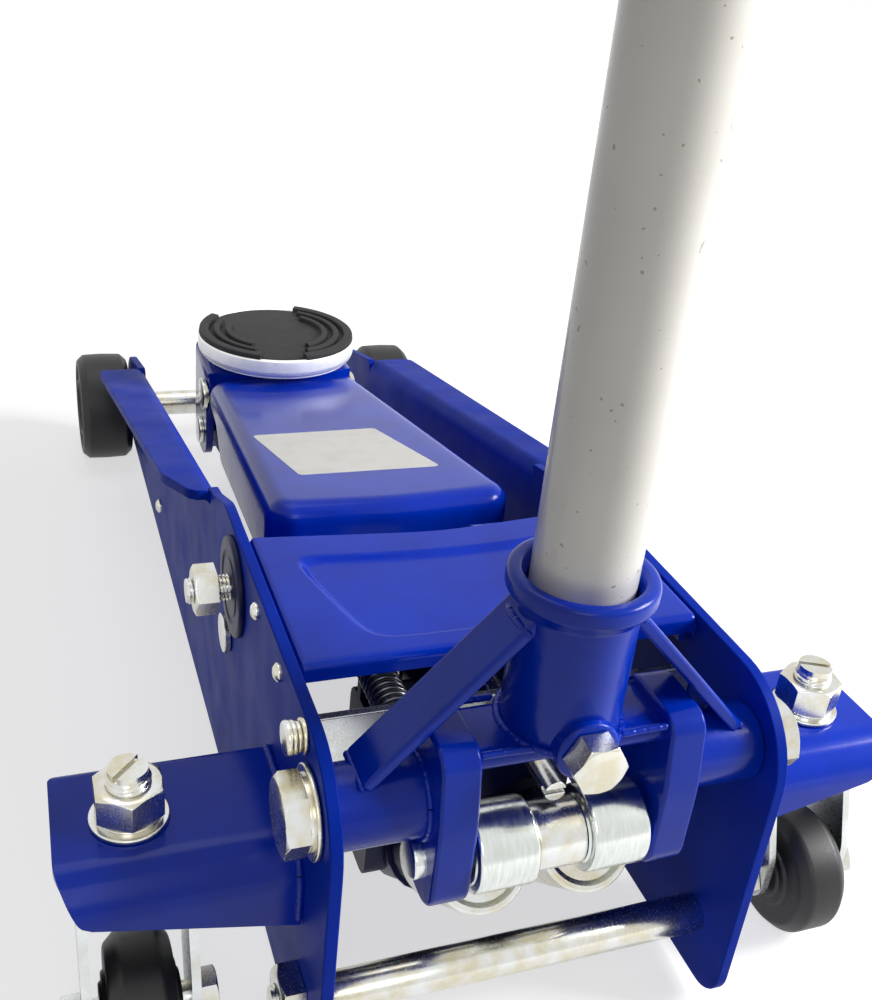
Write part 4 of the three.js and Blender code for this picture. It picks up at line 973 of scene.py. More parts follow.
    def build_camera(self) -> None:
        """Sets the camera by its yaw, pitch and roll about the way it looks."""
        yaw, pitch, roll = (math.radians(angle) for angle in (self.yaw, self.pitch, self.roll))
        ahead = np.array([math.sin(yaw) * math.cos(pitch), math.cos(yaw) * math.cos(pitch),
                          -math.sin(pitch)])
        level = np.array([math.cos(yaw), -math.sin(yaw), 0])
        upright = np.cross(level, ahead)
        right = math.cos(roll) * level + math.sin(roll) * upright
        up = -math.sin(roll) * level + math.cos(roll) * upright
        data = bpy.data.cameras.new("photograph_view")
        data.sensor_width = data.sensor_height = self.sensor
        data.sensor_fit = "AUTO"
        data.lens = self.sensor * self.reach
        data.clip_start, data.clip_end = 0.01, 30.0
        camera = bpy.data.objects.new("photograph_view", data)
        bpy.context.scene.collection.objects.link(camera)
        place = (np.array(self.place) - [0, CENTRE_Y, 0]) * MM
        turn = np.eye(4)
        turn[:3, 0], turn[:3, 1], turn[:3, 2], turn[:3, 3] = right, up, -ahead, place
        camera.matrix_world = Matrix(turn.tolist())
        bpy.context.scene.camera = camera


# Sub-assemblies


@dataclass
class SidePlates:
    """The two long cheeks of the frame, each with a flange bent out along its sloping edge."""

    # The outer face's place across the jack, and the plate's rear, bottom and level top.
    outer: float = 90.0
    thickness: float = 5.0
    rear: float = -25.0
    bottom: float = 6.0
    top: float = 160.0
    # Where the slope starts and ends, along the jack and in height, and the nose's centre and radius.
    dip: tuple[float, float] = (202.0, 149.0)
    slope_end: tuple[float, float] = (512.0, 89.0)
    nose: tuple[float, float, float] = (559.5, 40.0, 31.0)
    # The flange's outer bending radius, its width at the front, and its width and length at the heel.
    bend: float = 9.0
    flange: float = 28.0
    heel: float = 19.0
    heel_length: float = 34.0
    # How far down the slope the flange starts.
    start: float = 7.0

    def slope(self) -> tuple[np.ndarray, np.ndarray, float]:
        """Measures the cheek's sloping edge.

        Returns:
            The slope's direction, the direction square to it, and its length.
        """
        run = np.subtract(self.slope_end, self.dip)
        length = float(np.linalg.norm(run))
        along = run / length
        return along, np.array([-along[1], along[0]]), length

    def web(self) -> Body:
        """Draws the flat cheek, lowered where the flange's bend takes over.

        Returns:
            The body.
        """
        along, square, length = self.slope()
        base = np.array(self.dip)
        first = base + along * (self.start + 5)
        low = first - square * self.bend
        last = base + along * length - square * self.bend
        y, z, radius = self.nose
        corners = [
            (self.rear, self.bottom, 14), (y + radius, z - radius, radius), (y + radius, z + radius, radius),
            (*self.slope_end, 5), (last[0] + 0.2, last[1]), (low[0], low[1]), (first[0], first[1]),
            (*self.dip, 6), (172, self.top, 30), (self.rear, self.top, 38),
        ]
        return prism(rounded(corners, 12), Axis.X, self.outer - self.thickness, self.outer)

    def bent_flange(self) -> Body:
        """Returns the flange: one bent section carried down the slope, wider as it goes.

        The bend is two arcs about one centre, and the width at a distance along
        the slope is read from the flange's outline as seen from above.

        Returns:
            The body.
        """
        along, square, length = self.slope()
        inner = self.outer - self.thickness
        centre = inner + self.bend
        plan = rounded([
            (centre, self.start), (centre + 5, self.start, 4),
            (self.outer + self.heel, self.start + self.heel_length, self.heel_length),
            (self.outer + self.flange, length, 7), (inner, length),
        ], 12, closed=False)[:-1]
        far = np.unique(np.concatenate([np.linspace(self.start, length, 70),
                                        np.linspace(length - 8, length, 14)]))
        reach = np.interp(far, plan[:, 1], plan[:, 0])
        turn = np.linspace(np.pi, np.pi / 2, 11)
        small = self.bend - self.thickness
        bent = np.stack([np.cos(turn), np.sin(turn)], axis=-1)
        outside = bent * self.bend + [centre, -self.bend]
        inside = (bent * small + [centre, -self.bend])[::-1]
        sink = 0.06
        rows = []
        for width in reach:
            tip = max(width, centre + 0.5)
            rows.append(np.concatenate([
                [[inner + sink, -self.bend - 5]], outside, [[tip, 0]], [[tip, -self.thickness]], inside,
                [[self.outer - sink, -self.bend - 5]],
            ]))
        section = np.array(rows)
        base = np.array([0, *self.dip])
        grid = (base + far[:, None, None] * np.array([0, *along])
                + section[:, :, 1:2] * np.array([0, *square]))
        grid[:, :, 0] = section[:, :, 0]
        return surface(grid, capped=True)

    def build(self) -> None:
        """Makes both cheeks."""
        for side in Side:
            word = side.name.lower()
            make_piece(f"cheek_{word}", [self.web().mirrored(side)], Finish.SHEET_ENAMEL, "frame",
                       [f"side_plate_{word}"], Edge(0.7, 2, 30))
            make_piece(f"cheek_flange_{word}", [self.bent_flange().mirrored(side)], Finish.SHEET_ENAMEL,
                       "frame", (), Edge(0.7, 2, 60))


@dataclass
class FrontAxle:
    """The front axle with its two nylon wheels, washers, nuts and threaded ends."""

    y: float = 559.5
    radius: float = 40.0
    width: float = 36.0
    # How deep the nut sits in the wheel's outer face.
    recess: float = 13.0
    shaft: float = 10.0
    washer: float = 3.0
    nut_across: float = 26.0
    nut_height: float = 9.0

    def wheel(self) -> Body:
        """Turns the right wheel: a crowned tread, rounded shoulders and a dished, stepped hub.

        Returns:
            The body.
        """
        r, w = self.radius, self.width
        profile = [
            (self.shaft + GAP, 0.0), (17.0, 0.0, 0.8), (18.0, 1.6, 0.8), (r - 9, 1.6, 1), (r - 7.5, 0, 1),
            (r - 4.6, 0, 2.5), (r - 0.5, 4.6, 2.5), (r, w / 2, 60), (r - 0.5, w - 4.6, 2.5),
            (r - 4.6, w, 2.5), (r - 7.5, w, 1), (r - 9, w - 1.8, 1), (21.5, w - 1.8, 1), (20.5, w, 0.8),
            (19, w, 0.8), (17, w - self.recess, 1), (self.shaft + GAP, w - self.recess),
        ]
        start = SEAT + self.washer + GAP
        return turned(profile, Axis.X.value, (start, self.y, r), 96, closed=True)

    def build(self) -> None:
        """Makes the axle, the wheels and what holds them."""
        nut_from = SEAT + self.washer + GAP + self.width - self.recess + GAP
        end = nut_from + self.nut_height
        shaft = turned([(0, -end), (self.shaft - 0.7, -end, 0.3), (self.shaft - 0.7, end, 0.3), (0, end)],
                       Axis.X.value, (0, self.y, self.radius), 48)
        stubs = [threaded(self.shaft, 1.75, (side.value, 0, 0),
                          (side.value * (end - 1), self.y, self.radius), 3.0) for side in Side]
        make_piece("axle_bar", [shaft, *stubs], Finish.ZINC, "frame", ["front_axle"])
        for side in Side:
            word = side.name.lower()
            make_piece(f"nylon_wheel_{word}", [self.wheel().mirrored(side)], Finish.NYLON,
                       f"wheel_{word}", [f"front_wheel_{word}"])
            place = (side.value * SEAT, self.y, self.radius)
            axis = (side.value, 0, 0)
            washer = turned([(self.shaft + GAP, 0), (17, 0, 0.6), (17, self.washer, 0.6),
                             (self.shaft + GAP, self.washer)], axis, place, 64, closed=True)
            make_piece(f"axle_washer_{word}", [washer], Finish.ZINC, "frame",
                       [f"front_axle_washer_{word}"])
            nut = hexagon_head(self.nut_across, axis, (side.value * nut_from, self.y, self.radius),
                               self.nut_height, 9.4)
            make_piece(f"axle_nut_{word}", [nut], Finish.ZINC, "frame", [f"front_axle_nut_{word}"])


@dataclass
class TieRod:
    """The rear tie rod across the frame, with a nut on each threaded end."""

    z: float = 35.0
    radius: float = 8.2
    end: float = 96.0
    neck: float = 84.0
    nut_across: float = 27.0
    nut_height: float = 9.0

    def build(self) -> None:
        """Makes the rod and its nuts."""
        end, neck, root = self.end, self.neck, self.radius - 0.6
        bar = turned([(0, -end), (root, -end, 0.5), (root, -neck), (self.radius, 1 - neck),
                      (self.radius, neck - 1), (root, neck), (root, end, 0.5), (0, end)],
                     Axis.X.value, (0, 0, self.z), 48)
        stubs = [threaded(self.radius - 0.1, 1.5, (side.value, 0, 0), (side.value * (end - 2), 0, self.z),
                          7.8) for side in Side]
        make_piece("tie_bar", [bar, *stubs], Finish.ZINC, "frame", ["tie_rod"])
        for side in Side:
            word = side.name.lower()
            nut = hexagon_head(self.nut_across, (side.value, 0, 0), (side.value * SEAT, 0, self.z),
                               self.nut_height, 8.0)
            make_piece(f"tie_nut_{word}", [nut], Finish.ZINC, "frame", [f"tie_rod_nut_{word}"])


@dataclass
class HandleSocket:
    """The welded socket that the handle drops into: a collared sleeve, two cheeks and two braces."""

    pivot: float = 131.0
    collar: float = 26.5
    collar_top: float = 219.0
    sleeve: float = 21.8
    bottom: float = 156.0
    cheek: float = 44.0
    cheek_width: float = 15.0
    bore: float = 19.35
    # The bore's floor, the stub tube's radius, and the height and seat of the clamp screw.
    floor: float = 166.0
    stub: float = 15.5
    clamp_z: float = 160.0
    clamp_seat: float = -25.3
    pivot_across: float = 27.0
    pivot_height: float = 8.5
    # The right brace's upper and lower end, across the jack and in height, and its thickness.
    brace: tuple[tuple[float, float], tuple[float, float]] = ((18.0, 208.3), (76.0, 146.0))
    brace_thickness: float = 5.0

    def sleeve_body(self) -> Body:
        """Turns the sleeve with its thick collar and its bore, open at the top.

        Returns:
            The body.
        """
        top, c = self.collar_top, self.collar
        profile = [
            (0, self.bottom), (self.sleeve, self.bottom, 2), (self.sleeve, top - 12, 3),
            (c - 2, top - 9, 2), (c, top - 6.6, 1.6), (c, top, 2.6), (21.6, top, 1.6),
            (self.bore, top - 4.5, 2), (self.bore, self.floor), (0, self.floor),
        ]
        return turned(profile, Axis.Z.value, (0, 0, 0), 96)

    def cheek_body(self) -> Body:
        """Draws the right cheek: a thick plate narrowed at its middle.

        Returns:
            The body.
        """
        corners = [(-18.5, 162, 9), (-23, 133, 70), (-23, 92, 18), (-1, 92, 9), (17, 133, 70), (17, 162, 9)]
        inner = self.cheek - self.cheek_width / 2
        return prism(rounded(corners, 12), Axis.X, inner, inner + self.cheek_width)

    def brace_body(self) -> Body:
        """Draws the right brace: a flat bar from under the collar down to the stub.

        Returns:
            The body.
        """
        start, end = np.array(self.brace)
        run = (end - start) / np.linalg.norm(end - start)
        thick = np.array([run[1], -run[0]]) * self.brace_thickness
        thick = thick if thick[0] < 0 else -thick
        return prism(np.array([start, start + thick, end + thick, end]), Axis.Y, -9, 12)

    def stub_body(self) -> Body:
        """Returns the right stub tube that the pivot bolt runs in."""
        return turned([(10.3, 50), (self.stub, 50), (self.stub, 84.7, 1.2), (10.3, 84.7, 0.5)], Axis.X.value,
                      (0, 0, self.pivot), 64, closed=True)

    def welds(self) -> list[Body]:
        """Lays the beads at the braces' ends, round the stubs and along the web.

        Returns:
            The beads.
        """
        beads = []
        for side in Side:
            s = side.value
            beads += [
                weld_bead(line((s * 21.6, -10, 201.5), (s * 23.0, -4, 202), (s * 23.2, 4, 202),
                               (s * 20.8, 12, 202)), 3.2),
                weld_bead(line((s * 75.5, -9, 145), (s * 75.5, 12, 145)), 3.2),
                weld_bead(arc_path((s * 52, 0, self.pivot), self.stub + 0.1, Axis.X, 0, 360), 3.0),
                weld_bead(line((s * 37, -15.5, 158), (s * 26, -15.5, 158), (s * 16.5, -16, 158)), 3.0),
                weld_bead(line((s * 37, 14.5, 158), (s * 20, 14.5, 158)), 3.0),
            ]
        beads.append(weld_bead(arc_path((0, 0, 157.5), 22.6, Axis.Z, 0, 360, 80), 3.4))
        return beads

    def build(self) -> None:
        """Makes the socket, its beads, the clamp bolt and the pivot bolts."""
        web = prism(rounded([(-15, 149, 4.5), (14, 149, 4.5), (14, 157.5, 4.5), (-15, 157.5, 4.5)], 6),
                    Axis.X, -37.5, 37.5)
        boss = turned([(0, 0), (12, 0), (12, 24.6, 1.5), (0, 25)], (0, -1, 0), (0, 0, self.clamp_z), 48)
        halves = [part.mirrored(side) for side in Side
                  for part in (self.cheek_body(), self.brace_body(), self.stub_body())]
        make_piece("cast_socket", [self.sleeve_body(), web, boss, *halves], Finish.CAST_ENAMEL, "socket",
                   ["handle_socket"], Edge(1.6, 3, 35))
        make_piece("socket_weld_beads", self.welds(), Finish.CAST_ENAMEL, "socket")
        bolt = hexagon_head(18.2, (0, -1, 0), (0, self.clamp_seat, self.clamp_z), 9.6)
        shank = turned([(0, 0), (6, 0), (6, 12), (0, 12)], Axis.Y.value, (0, -26, self.clamp_z), 32)
        make_piece("clamp_screw", [bolt, shank], Finish.ZINC, "socket", ["clamp_bolt"])
        for side in Side:
            word, s = side.name.lower(), side.value
            axis = (s, 0, 0)
            washer = turned([(0, 0), (17, 0, 0.6), (17, 1.9, 0.6), (13.8, 1.9), (13.8, 3.6, 0.5),
                             (0, 3.6)], axis, (s * SEAT, 0, self.pivot), 80)
            head = hexagon_head(self.pivot_across, axis, (s * (SEAT + 3.5), 0, self.pivot),
                                self.pivot_height)
            shank = turned([(0, 53), (9.4, 53, 0.6), (10, 54), (10, 92), (0, 92)], axis,
                           (0, 0, self.pivot), 48)
            make_piece(f"pivot_screw_{word}", [washer, head, shank], Finish.ZINC, "frame",
                       [f"pivot_bolt_{word}"])


@dataclass
class PumpRollers:
    """The cross pin under the socket with two steel rollers that press the pump's caps."""

    y: float = -9.0
    z: float = 109.0
    pin: float = 7.5
    pin_half: float = 56.0
    # The spacer's radius and half its length.
    spacer: float = 12.8
    half: float = 9.7
    roller: float = 16.5
    width: float = 25.0

    def build(self) -> None:
        """Makes the pin, the spacer and the two rollers."""
        place = (0, self.y, self.z)
        bore = self.pin + GAP
        end = self.pin_half
        pin = turned([(0, -end), (self.pin, -end, 1.2), (self.pin, end, 1.2), (0, end)], Axis.X.value,
                     place, 48)
        make_piece("cross_pin", [pin], Finish.TURNED_STEEL, "socket", ["roller_pin"])
        spacer = turned([(bore, -self.half), (self.spacer, -self.half, 0.8), (self.spacer, self.half, 0.8),
                         (bore, self.half)], Axis.X.value, place, 64, closed=True)
        make_piece("pin_spacer", [spacer], Finish.ZINC, "socket", ["roller_spacer"])
        near, far = self.half + GAP, self.half + GAP + self.width
        roller = turned([
            (bore, near), (12.5, near, 0.4), (13.2, near + 0.8, 0.4), (self.roller, near + 0.8, 1.4),
            (self.roller, far - 0.8, 1.4), (13.2, far - 0.8, 0.4), (12.5, far, 0.4), (bore, far),
        ], Axis.X.value, place, 80, closed=True)
        for side in Side:
            word = side.name.lower()
            make_piece(f"steel_roller_{word}", [roller.mirrored(side)], Finish.TURNED_STEEL,
                       f"roller_{word}", [f"pump_roller_{word}"])


@dataclass
class PumpUnit:
    """The cast pump block with its ringed barrels, the capped pistons, the ram and the release."""

    # The barrels' tilt in degrees, and the roller's place along the jack, height and radius.
    tilt: float = 40.0
    roller: tuple[float, float, float] = (-9.0, 109.0, 16.5)
    # How far down its slope a cap's middle lies, and how far from the jack's middle.
    drop: float = 7.5
    offset: float = 22.5
    # The return spring's turns, wire and coil radius, place across and height, and both its ends.
    turns: int = 10
    wire: float = 1.3
    coil: float = 6.7
    spring_x: float = -43.0
    spring_z: float = 126.0
    spring_ends: tuple[float, float] = (46.0, 84.0)

    def axis(self) -> np.ndarray:
        """Returns the direction in which a cap is pressed."""
        tilt = math.radians(self.tilt)
        return np.array([0, math.cos(tilt), -math.sin(tilt)])

    def cap_place(self) -> np.ndarray:
        """Works out where a cap's face lies: clear of the roller, and lower down its slope.

        Returns:
            The middle of the face, over X = 0.
        """
        tilt = math.radians(self.tilt)
        y, z, radius = self.roller
        slope = np.array([0, math.sin(tilt), math.cos(tilt)])
        return np.array([0, y, z]) + self.axis() * (radius + 1) - slope * self.drop

    def cap(self) -> Body:
        """Turns a cap: a pressed cup with a raised rim round its face, and its piston.

        Returns:
            The body.
        """
        profile = [
            (0, 1.6), (15.6, 1.6, 0.8), (17.6, 0, 0.6), (19.4, 0, 0.9), (20.3, 1.4, 0.9), (20.3, 12, 1),
            (19.7, 13, 1), (20.3, 14, 1), (20.3, 40, 0.5), (17.7, 40, 0.5), (17.7, 5, 1), (7, 5), (7, 50),
            (0, 50),
        ]
        return turned(profile, self.axis(), self.cap_place() + [self.offset, 0, 0], 80)

    def build(self) -> None:
        """Makes the caps, the block, the ram, the release shaft, the cross bar and the spring."""
        for side in Side:
            word = side.name.lower()
            make_piece(f"pressed_cap_{word}", [self.cap().mirrored(side)], Finish.ZINC, f"cap_{word}",
                       [f"pump_cap_{word}"])
        soften("power_unit", Finish.BLOCK_ENAMEL, Edge(1.0, 2, 40))
        soften("ram", Finish.GROUND_ROD, Edge(0.8, 2, 40))
        soften("release_shaft", Finish.ZINC, Edge(0.4, 2, 40))
        soften("cross_bar", Finish.DULL_ZINC, Edge(0.6, 2, 40))
        self.build_spring()

    def build_spring(self) -> None:
        """Winds the return spring: a round wire carried round a helix of even pitch."""
        turn = np.linspace(0, 1, self.turns * 28 + 1)
        angle = 2 * np.pi * self.turns * turn
        first, last = self.spring_ends
        along = first + self.wire + (last - first - 2 * self.wire) * turn
        path = np.stack([self.spring_x + self.coil * np.cos(angle), along,
                         self.spring_z + self.coil * np.sin(angle)], axis=-1)
        outward = np.stack([np.cos(angle), np.zeros_like(angle), np.sin(angle)], axis=-1)
        ahead = np.gradient(path, axis=0)
        ahead = ahead / np.linalg.norm(ahead, axis=1, keepdims=True)
        side = np.cross(ahead, outward)
        ring = 2 * np.pi * np.arange(10) / 10
        grid = path[:, None] + self.wire * (np.cos(ring)[None, :, None] * outward[:, None]
                                            + np.sin(ring)[None, :, None] * side[:, None])
        make_piece("coil_spring", [surface(grid, capped=True)], Finish.SPRING, "frame", ["return_spring"])


@dataclass
class CoverPlate:
    """The pressed cover between the cheeks: a sunk field, a hollow front edge and a turned-down rear."""

    half: float = 84.6
    top: float = 160.0
    rear: float = 44.0
    front: float = 139.0
    bow: float = 9.0
    thickness: float = 3.0
    # The turned-down rear's height and bending radius, and how far in from the sides the edge falls.
    hem: float = 8.0
    hem_radius: float = 3.2
    side_round: float = 2.2
    # The sunk field: its depth, half its width at a place along the jack, and the edges' places and bow.
    depth: float = 2.6
    field_half: float = 68.0
    field_at: float = 118.0
    field_rear: float = 58.0
    field_front: float = 119.0
    field_bow: float = 6.0

    def sunk(self, x: np.ndarray, y: np.ndarray) -> np.ndarray:
        """Works out how far the field is sunk at each place.

        The field's outline is the meeting of four half planes, the front one
        bowed as the cover's front edge is; a smooth least of the four distances
        rounds its corners, and the depth follows a soft step of that distance.

        Args:
            x: The places across the jack.
            y: The places along it.

        Returns:
            The depth in millimetres at each place.
        """
        # The sides draw in by 16 over 60 towards the rear, a slant whose cosine is 0.966.
        side = (self.field_half - (self.field_at - y) * 16 / 60 - np.abs(x)) * 0.966
        rear = y - self.field_rear
        ahead = self.field_front - (1 - (x / self.field_half) ** 2) * self.field_bow - y
        inside = np.stack([side, rear, ahead])
        soft = 5.0
        least = -soft * np.log(np.exp(-inside / soft).sum(axis=0)) + 1.5
        step = np.clip(least / 3.4 + 0.5, 0, 1)
        return self.depth * step * step * (3 - 2 * step)

    def build(self) -> None:
        """Makes the cover's sheet, both its faces on one grid, with a hem at each side."""
        x = np.linspace(-1, 1, 190)
        lip = np.linspace(0, 1, 6)
        arc = np.linspace(0, np.pi / 2, 9)
        radius = self.hem_radius
        rise = self.top - self.hem + (self.hem - radius) * lip
        climb = np.concatenate([
            np.stack([np.zeros_like(rise), rise - self.top], axis=-1),
            np.stack([radius * (1 - np.cos(arc)), radius * (np.sin(arc) - 1)], axis=-1)[1:],
        ])
        flat = np.linspace(radius, 1, 120)[1:]
        front = self.front - self.bow * (1 - np.sqrt(x ** 2 + 0.02))
        share = (flat - radius) / (1 - radius)
        y_flat = (self.rear + radius) + share[:, None] * (front[None, :] - self.rear - radius)
        y = np.concatenate([self.rear + np.repeat(climb[:, :1], len(x), axis=1), y_flat])
        z = np.concatenate([self.top + np.repeat(climb[:, 1:], len(x), axis=1),
                            np.full(y_flat.shape, self.top)])
        wide = np.broadcast_to(x * self.half, y.shape)
        z = z - self.sunk(wide, y)
        edge = np.clip((np.abs(wide) - (self.half - self.side_round)) / self.side_round, 0, 1)
        z = z - self.side_round * (1 - np.sqrt(np.clip(1 - edge ** 2, 0, 1)))
        upper = np.stack([wide, y, z], axis=-1)
        away = np.gradient(upper, axis=0)
        right = np.gradient(upper, axis=1)
        normal = np.cross(right, away)
        normal = normal / np.linalg.norm(normal, axis=-1, keepdims=True)
        lower = upper - normal * (self.thickness - 0.1)
        count = upper.shape[0] * upper.shape[1]
        rows, columns = upper.shape[:2]
        top_faces = grid_faces(rows, columns, False, False)
        low_faces = [tuple(corner + count for corner in reversed(face)) for face in top_faces]
        border = np.concatenate([
            np.arange(columns), np.arange(1, rows) * columns + columns - 1,
            np.arange(columns - 2, -1, -1) + (rows - 1) * columns, np.arange(rows - 2, 0, -1) * columns,
        ])
        rim = [(int(b), int(a), int(a) + count, int(b) + count)
               for a, b in zip(border, np.roll(border, -1))]
        sheet = Body(np.concatenate([upper.reshape(-1, 3), lower.reshape(-1, 3)]),
                     top_faces + low_faces + rim)
        hems = [prism(rounded([(50, 144), (50, 157.5), (127, 157.5), (127, 144)]), Axis.X, 81.6, 84.4)
                .mirrored(side) for side in Side]
        make_piece("pressed_cover", [sheet, *hems], Finish.PLATE_ENAMEL, "frame", ["cover_plate"])


@dataclass
class LiftArm:
    """The pressed lift arm, an inverted trough, with its shaft across the frame."""

    rear: float = 186.0
    rear_top: float = 147.0
    rear_half: float = 65.0
    front: float = 431.0
    front_top: float = 110.0
    front_half: float = 52.0
    wall: float = 5.0
    edge: float = 11.0
    corner: float = 15.0
    bow: float = 4.0
    pivot: tuple[float, float] = (142.0, 134.0)
    # How low the wall reaches: places along the jack and heights.
    feet: tuple[tuple[float, float], ...] = ((180, 114), (200, 114), (214, 105), (372, 80), (398, 95),
                                             (440, 95))
    # Half the width over the ears at the rear, and the angle and length of the ram's lugs.
    ears_half: float = 58.4
    lug_angle: float = -125.0
    lug_length: float = 36.0
    # The pin at the front: its place along the jack and its height.
    fork_pin: tuple[float, float] = (455.0, 92.0)
    # The sticker's corners from above, with their rounding.
    sticker: tuple[tuple[float, float, float], ...] = ((-39.5, 232, 3), (38.5, 231, 3), (24.3, 307, 3),
                                                       (-49.3, 306, 3))

    def top_at(self, y: np.ndarray) -> np.ndarray:
        """Works out the arm's height: a straight fall from the rear's to the front's.

        Args:
            y: The places along it.

        Returns:
            The height of its top at each place.
        """
        share = (y - self.rear) / (self.front - self.rear)
        return self.rear_top + (self.front_top - self.rear_top) * share

    def plan(self, inset: float) -> np.ndarray:
        """Draws the arm's outline from above: from the front left round the rear to the front right.

        Args:
            inset: How far inside the outer outline it lies.

        Returns:
            The outline's points, as many on the left half as on the right.
        """
        rear = self.rear + inset
        corners = [
            (-self.front_half + inset, self.front), (-self.rear_half + inset, rear + 1, self.corner - inset),
            (0, rear - self.bow, 200), (self.rear_half - inset, rear + 1, self.corner - inset),
            (self.front_half - inset, self.front),
        ]
        drawn = rounded(corners, 16, closed=False)
        step = np.linalg.norm(np.diff(drawn, axis=0), axis=1)
        far = np.concatenate([[0], np.cumsum(step)])
        half = len(far) // 2
        left = drawn[:half + 1]
        reach = far[:half + 1] / far[half]
        share = np.concatenate([np.linspace(0, 0.74, 40), np.linspace(0.745, 1, 46)])
        half_line = np.stack([np.interp(share, reach, left[:, i]) for i in range(2)], axis=-1)
        return np.concatenate([half_line, half_line[-2::-1] * [-1, 1]])

    def foot_at(self, place: np.ndarray) -> np.ndarray:
        """Reads how low the wall reaches from its profile along the arm.

        Args:
            place: The outline's points.

        Returns:
            The foot's height at each place.
        """
        y, z = zip(*self.feet)
        return np.interp(place[:, 1], y, z)

    def shell(self, inset: float) -> np.ndarray:
        """Works out one face of the trough.

        Rows climb the wall, then turn over the edge on an ellipse: the outline
        draws in by the edge's radius times (1 - cos) while the height gains its
        sine, and last they cross the top from the left half to its mirror.

        Args:
            inset: How far inside the outer face it lies.

        Returns:
            The grid of points.
        """
        outer = self.plan(inset)
        foot = self.foot_at(outer)
        edge = self.edge - inset * 0.6
        rows = []
        shoulder = self.top_at(outer[:, 1]) - inset - edge
        for share in np.linspace(0, 1, 8):
            rows.append(np.column_stack([outer, foot + (shoulder - foot) * share]))
        for turn in np.linspace(0, np.pi / 2, 11)[1:]:
            drawn = self.plan(inset + edge * (1 - math.cos(turn)))
            drawn[:, 1] = np.where(drawn[:, 1] > self.front - 0.01, self.front, drawn[:, 1])
            height = self.top_at(drawn[:, 1]) - inset - edge * (1 - math.sin(turn))
            rows.append(np.column_stack([drawn, height]))
        last = rows[-1]
        mirror = last[::-1]
        for share in np.linspace(0, 0.5, 7)[1:]:
            blend = last + (mirror - last) * share
            blend[:, 2] = self.top_at(blend[:, 1]) - inset
            rows.append(blend)
        return np.stack(rows)

    def inner_bodies(self) -> list[Body]:
        """Draws what the arm carries inside: ears and sleeves, the ram's lugs, the fork and a cross web.

        Returns:
            The bodies.
        """
        y, z = self.pivot
        turn = np.radians(np.linspace(40, -80, 20))
        round_shaft = np.stack([y + 19 * np.cos(turn), z + 19 * np.sin(turn)], axis=-1)
        ear = np.concatenate([
            rounded([(145.3, 115.3), (186, 105, 11), (222, 105), (222, 130.6, 8), (191, 125),
                     (156.6, 146.2)], closed=False), round_shaft[1:-1]])
        lug_turn = math.radians(self.lug_angle)
        along = np.array([math.cos(lug_turn), math.sin(lug_turn)])
        square = np.array([-along[1], along[0]])
        near = np.radians(np.linspace(-75, 75, 16))
        far = np.radians(np.linspace(105, 255, 16))
        web = np.concatenate([
            np.stack([16.5 * np.cos(near), 16.5 * np.sin(near)], axis=-1),
            np.stack([self.lug_length + 9.5 * np.cos(far), 9.5 * np.sin(far)], axis=-1),
        ])
        web = [y, z] + web[:, :1] * along + web[:, 1:] * square
        pin = [y, z] + self.lug_length * along
        down = np.radians(np.linspace(270, 180, 10))
        cradle = self.fork_pin + 12 * np.stack([np.cos(down), np.sin(down)], axis=-1)
        fork_top = self.top_at(np.array([352.0, 431.0])) - self.wall / 2
        neck = np.concatenate([
            rounded([(429.7, 92), (429.7, fork_top[1]), (352, fork_top[0]), (352, 80, 11), (437, 81.2, 18),
                     (455, 80)], closed=False)[:-1], cradle])
        bodies = [prism(np.array([(352, 81.2), (357, 81.2), (357, fork_top[0] - 1), (352, fork_top[0])]),
                        Axis.X, -37, 37)]
        for side in Side:
            bodies += [part.mirrored(side) for part in (
                prism(ear, Axis.X, self.ears_half - 6, self.ears_half),
                self.ring(14.4, 18, self.ears_half - 6, self.ears_half, (y, z)),
                self.ring(14.4, 18, 31.6, self.ears_half - 0.4, (y, z)),
                prism(web, Axis.X, 24, 32),
                self.ring(14.4, 18, 24, 32, (y, z)),
                self.ring(7.3, 12, 24, 32, pin),
                prism(neck, Axis.X, 31, 37),
                self.ring(8.3, 13, 31, 37, self.fork_pin),
            )]
        return bodies

    def ring(self, inner: float, outer: float, start: float, end: float,
             at: Sequence[float]) -> Body:
        """Turns a ring about an axis along X.

        Args:
            inner: Its bore's radius.
            outer: Its radius.
            start: Where it starts across the jack.
            end: Where it ends.
            at: The axis's place along the jack and its height.

        Returns:
            The body.
        """
        return turned([(inner, start), (outer, start, 0.6), (outer, end, 0.6), (inner, end)], Axis.X.value,
                      (0, at[0], at[1]), 56, closed=True)

    def build(self) -> None:
        """Makes the arm, its blank sticker, its shaft and nuts."""
        outer = self.shell(0.0)
        inner = self.shell(self.wall)
        rows, columns = outer.shape[:2]
        count = rows * columns
        top = grid_faces(rows, columns, False, False)
        low = [tuple(corner + count for corner in reversed(face)) for face in top]
        foot = [(i + 1, i, i + count, i + 1 + count) for i in range(columns - 1)]
        ends = [(r * columns, (r + 1) * columns, (r + 1) * columns + count, r * columns + count)
                for r in range(rows - 1)]
        ends += [((r + 1) * columns + columns - 1, r * columns + columns - 1,
                  r * columns + columns - 1 + count, (r + 1) * columns + columns - 1 + count)
                 for r in range(rows - 1)]
        trough = Body(np.concatenate([outer.reshape(-1, 3), inner.reshape(-1, 3)]), top + low + foot + ends)
        make_piece("pressed_arm", [trough, *self.inner_bodies()], Finish.PLATE_ENAMEL, "arm", ["lift_arm"])
        soften("arm_lug_pin", Finish.TURNED_STEEL, Edge(0.6, 2, 40))
        self.build_shaft()
        self.build_sticker()

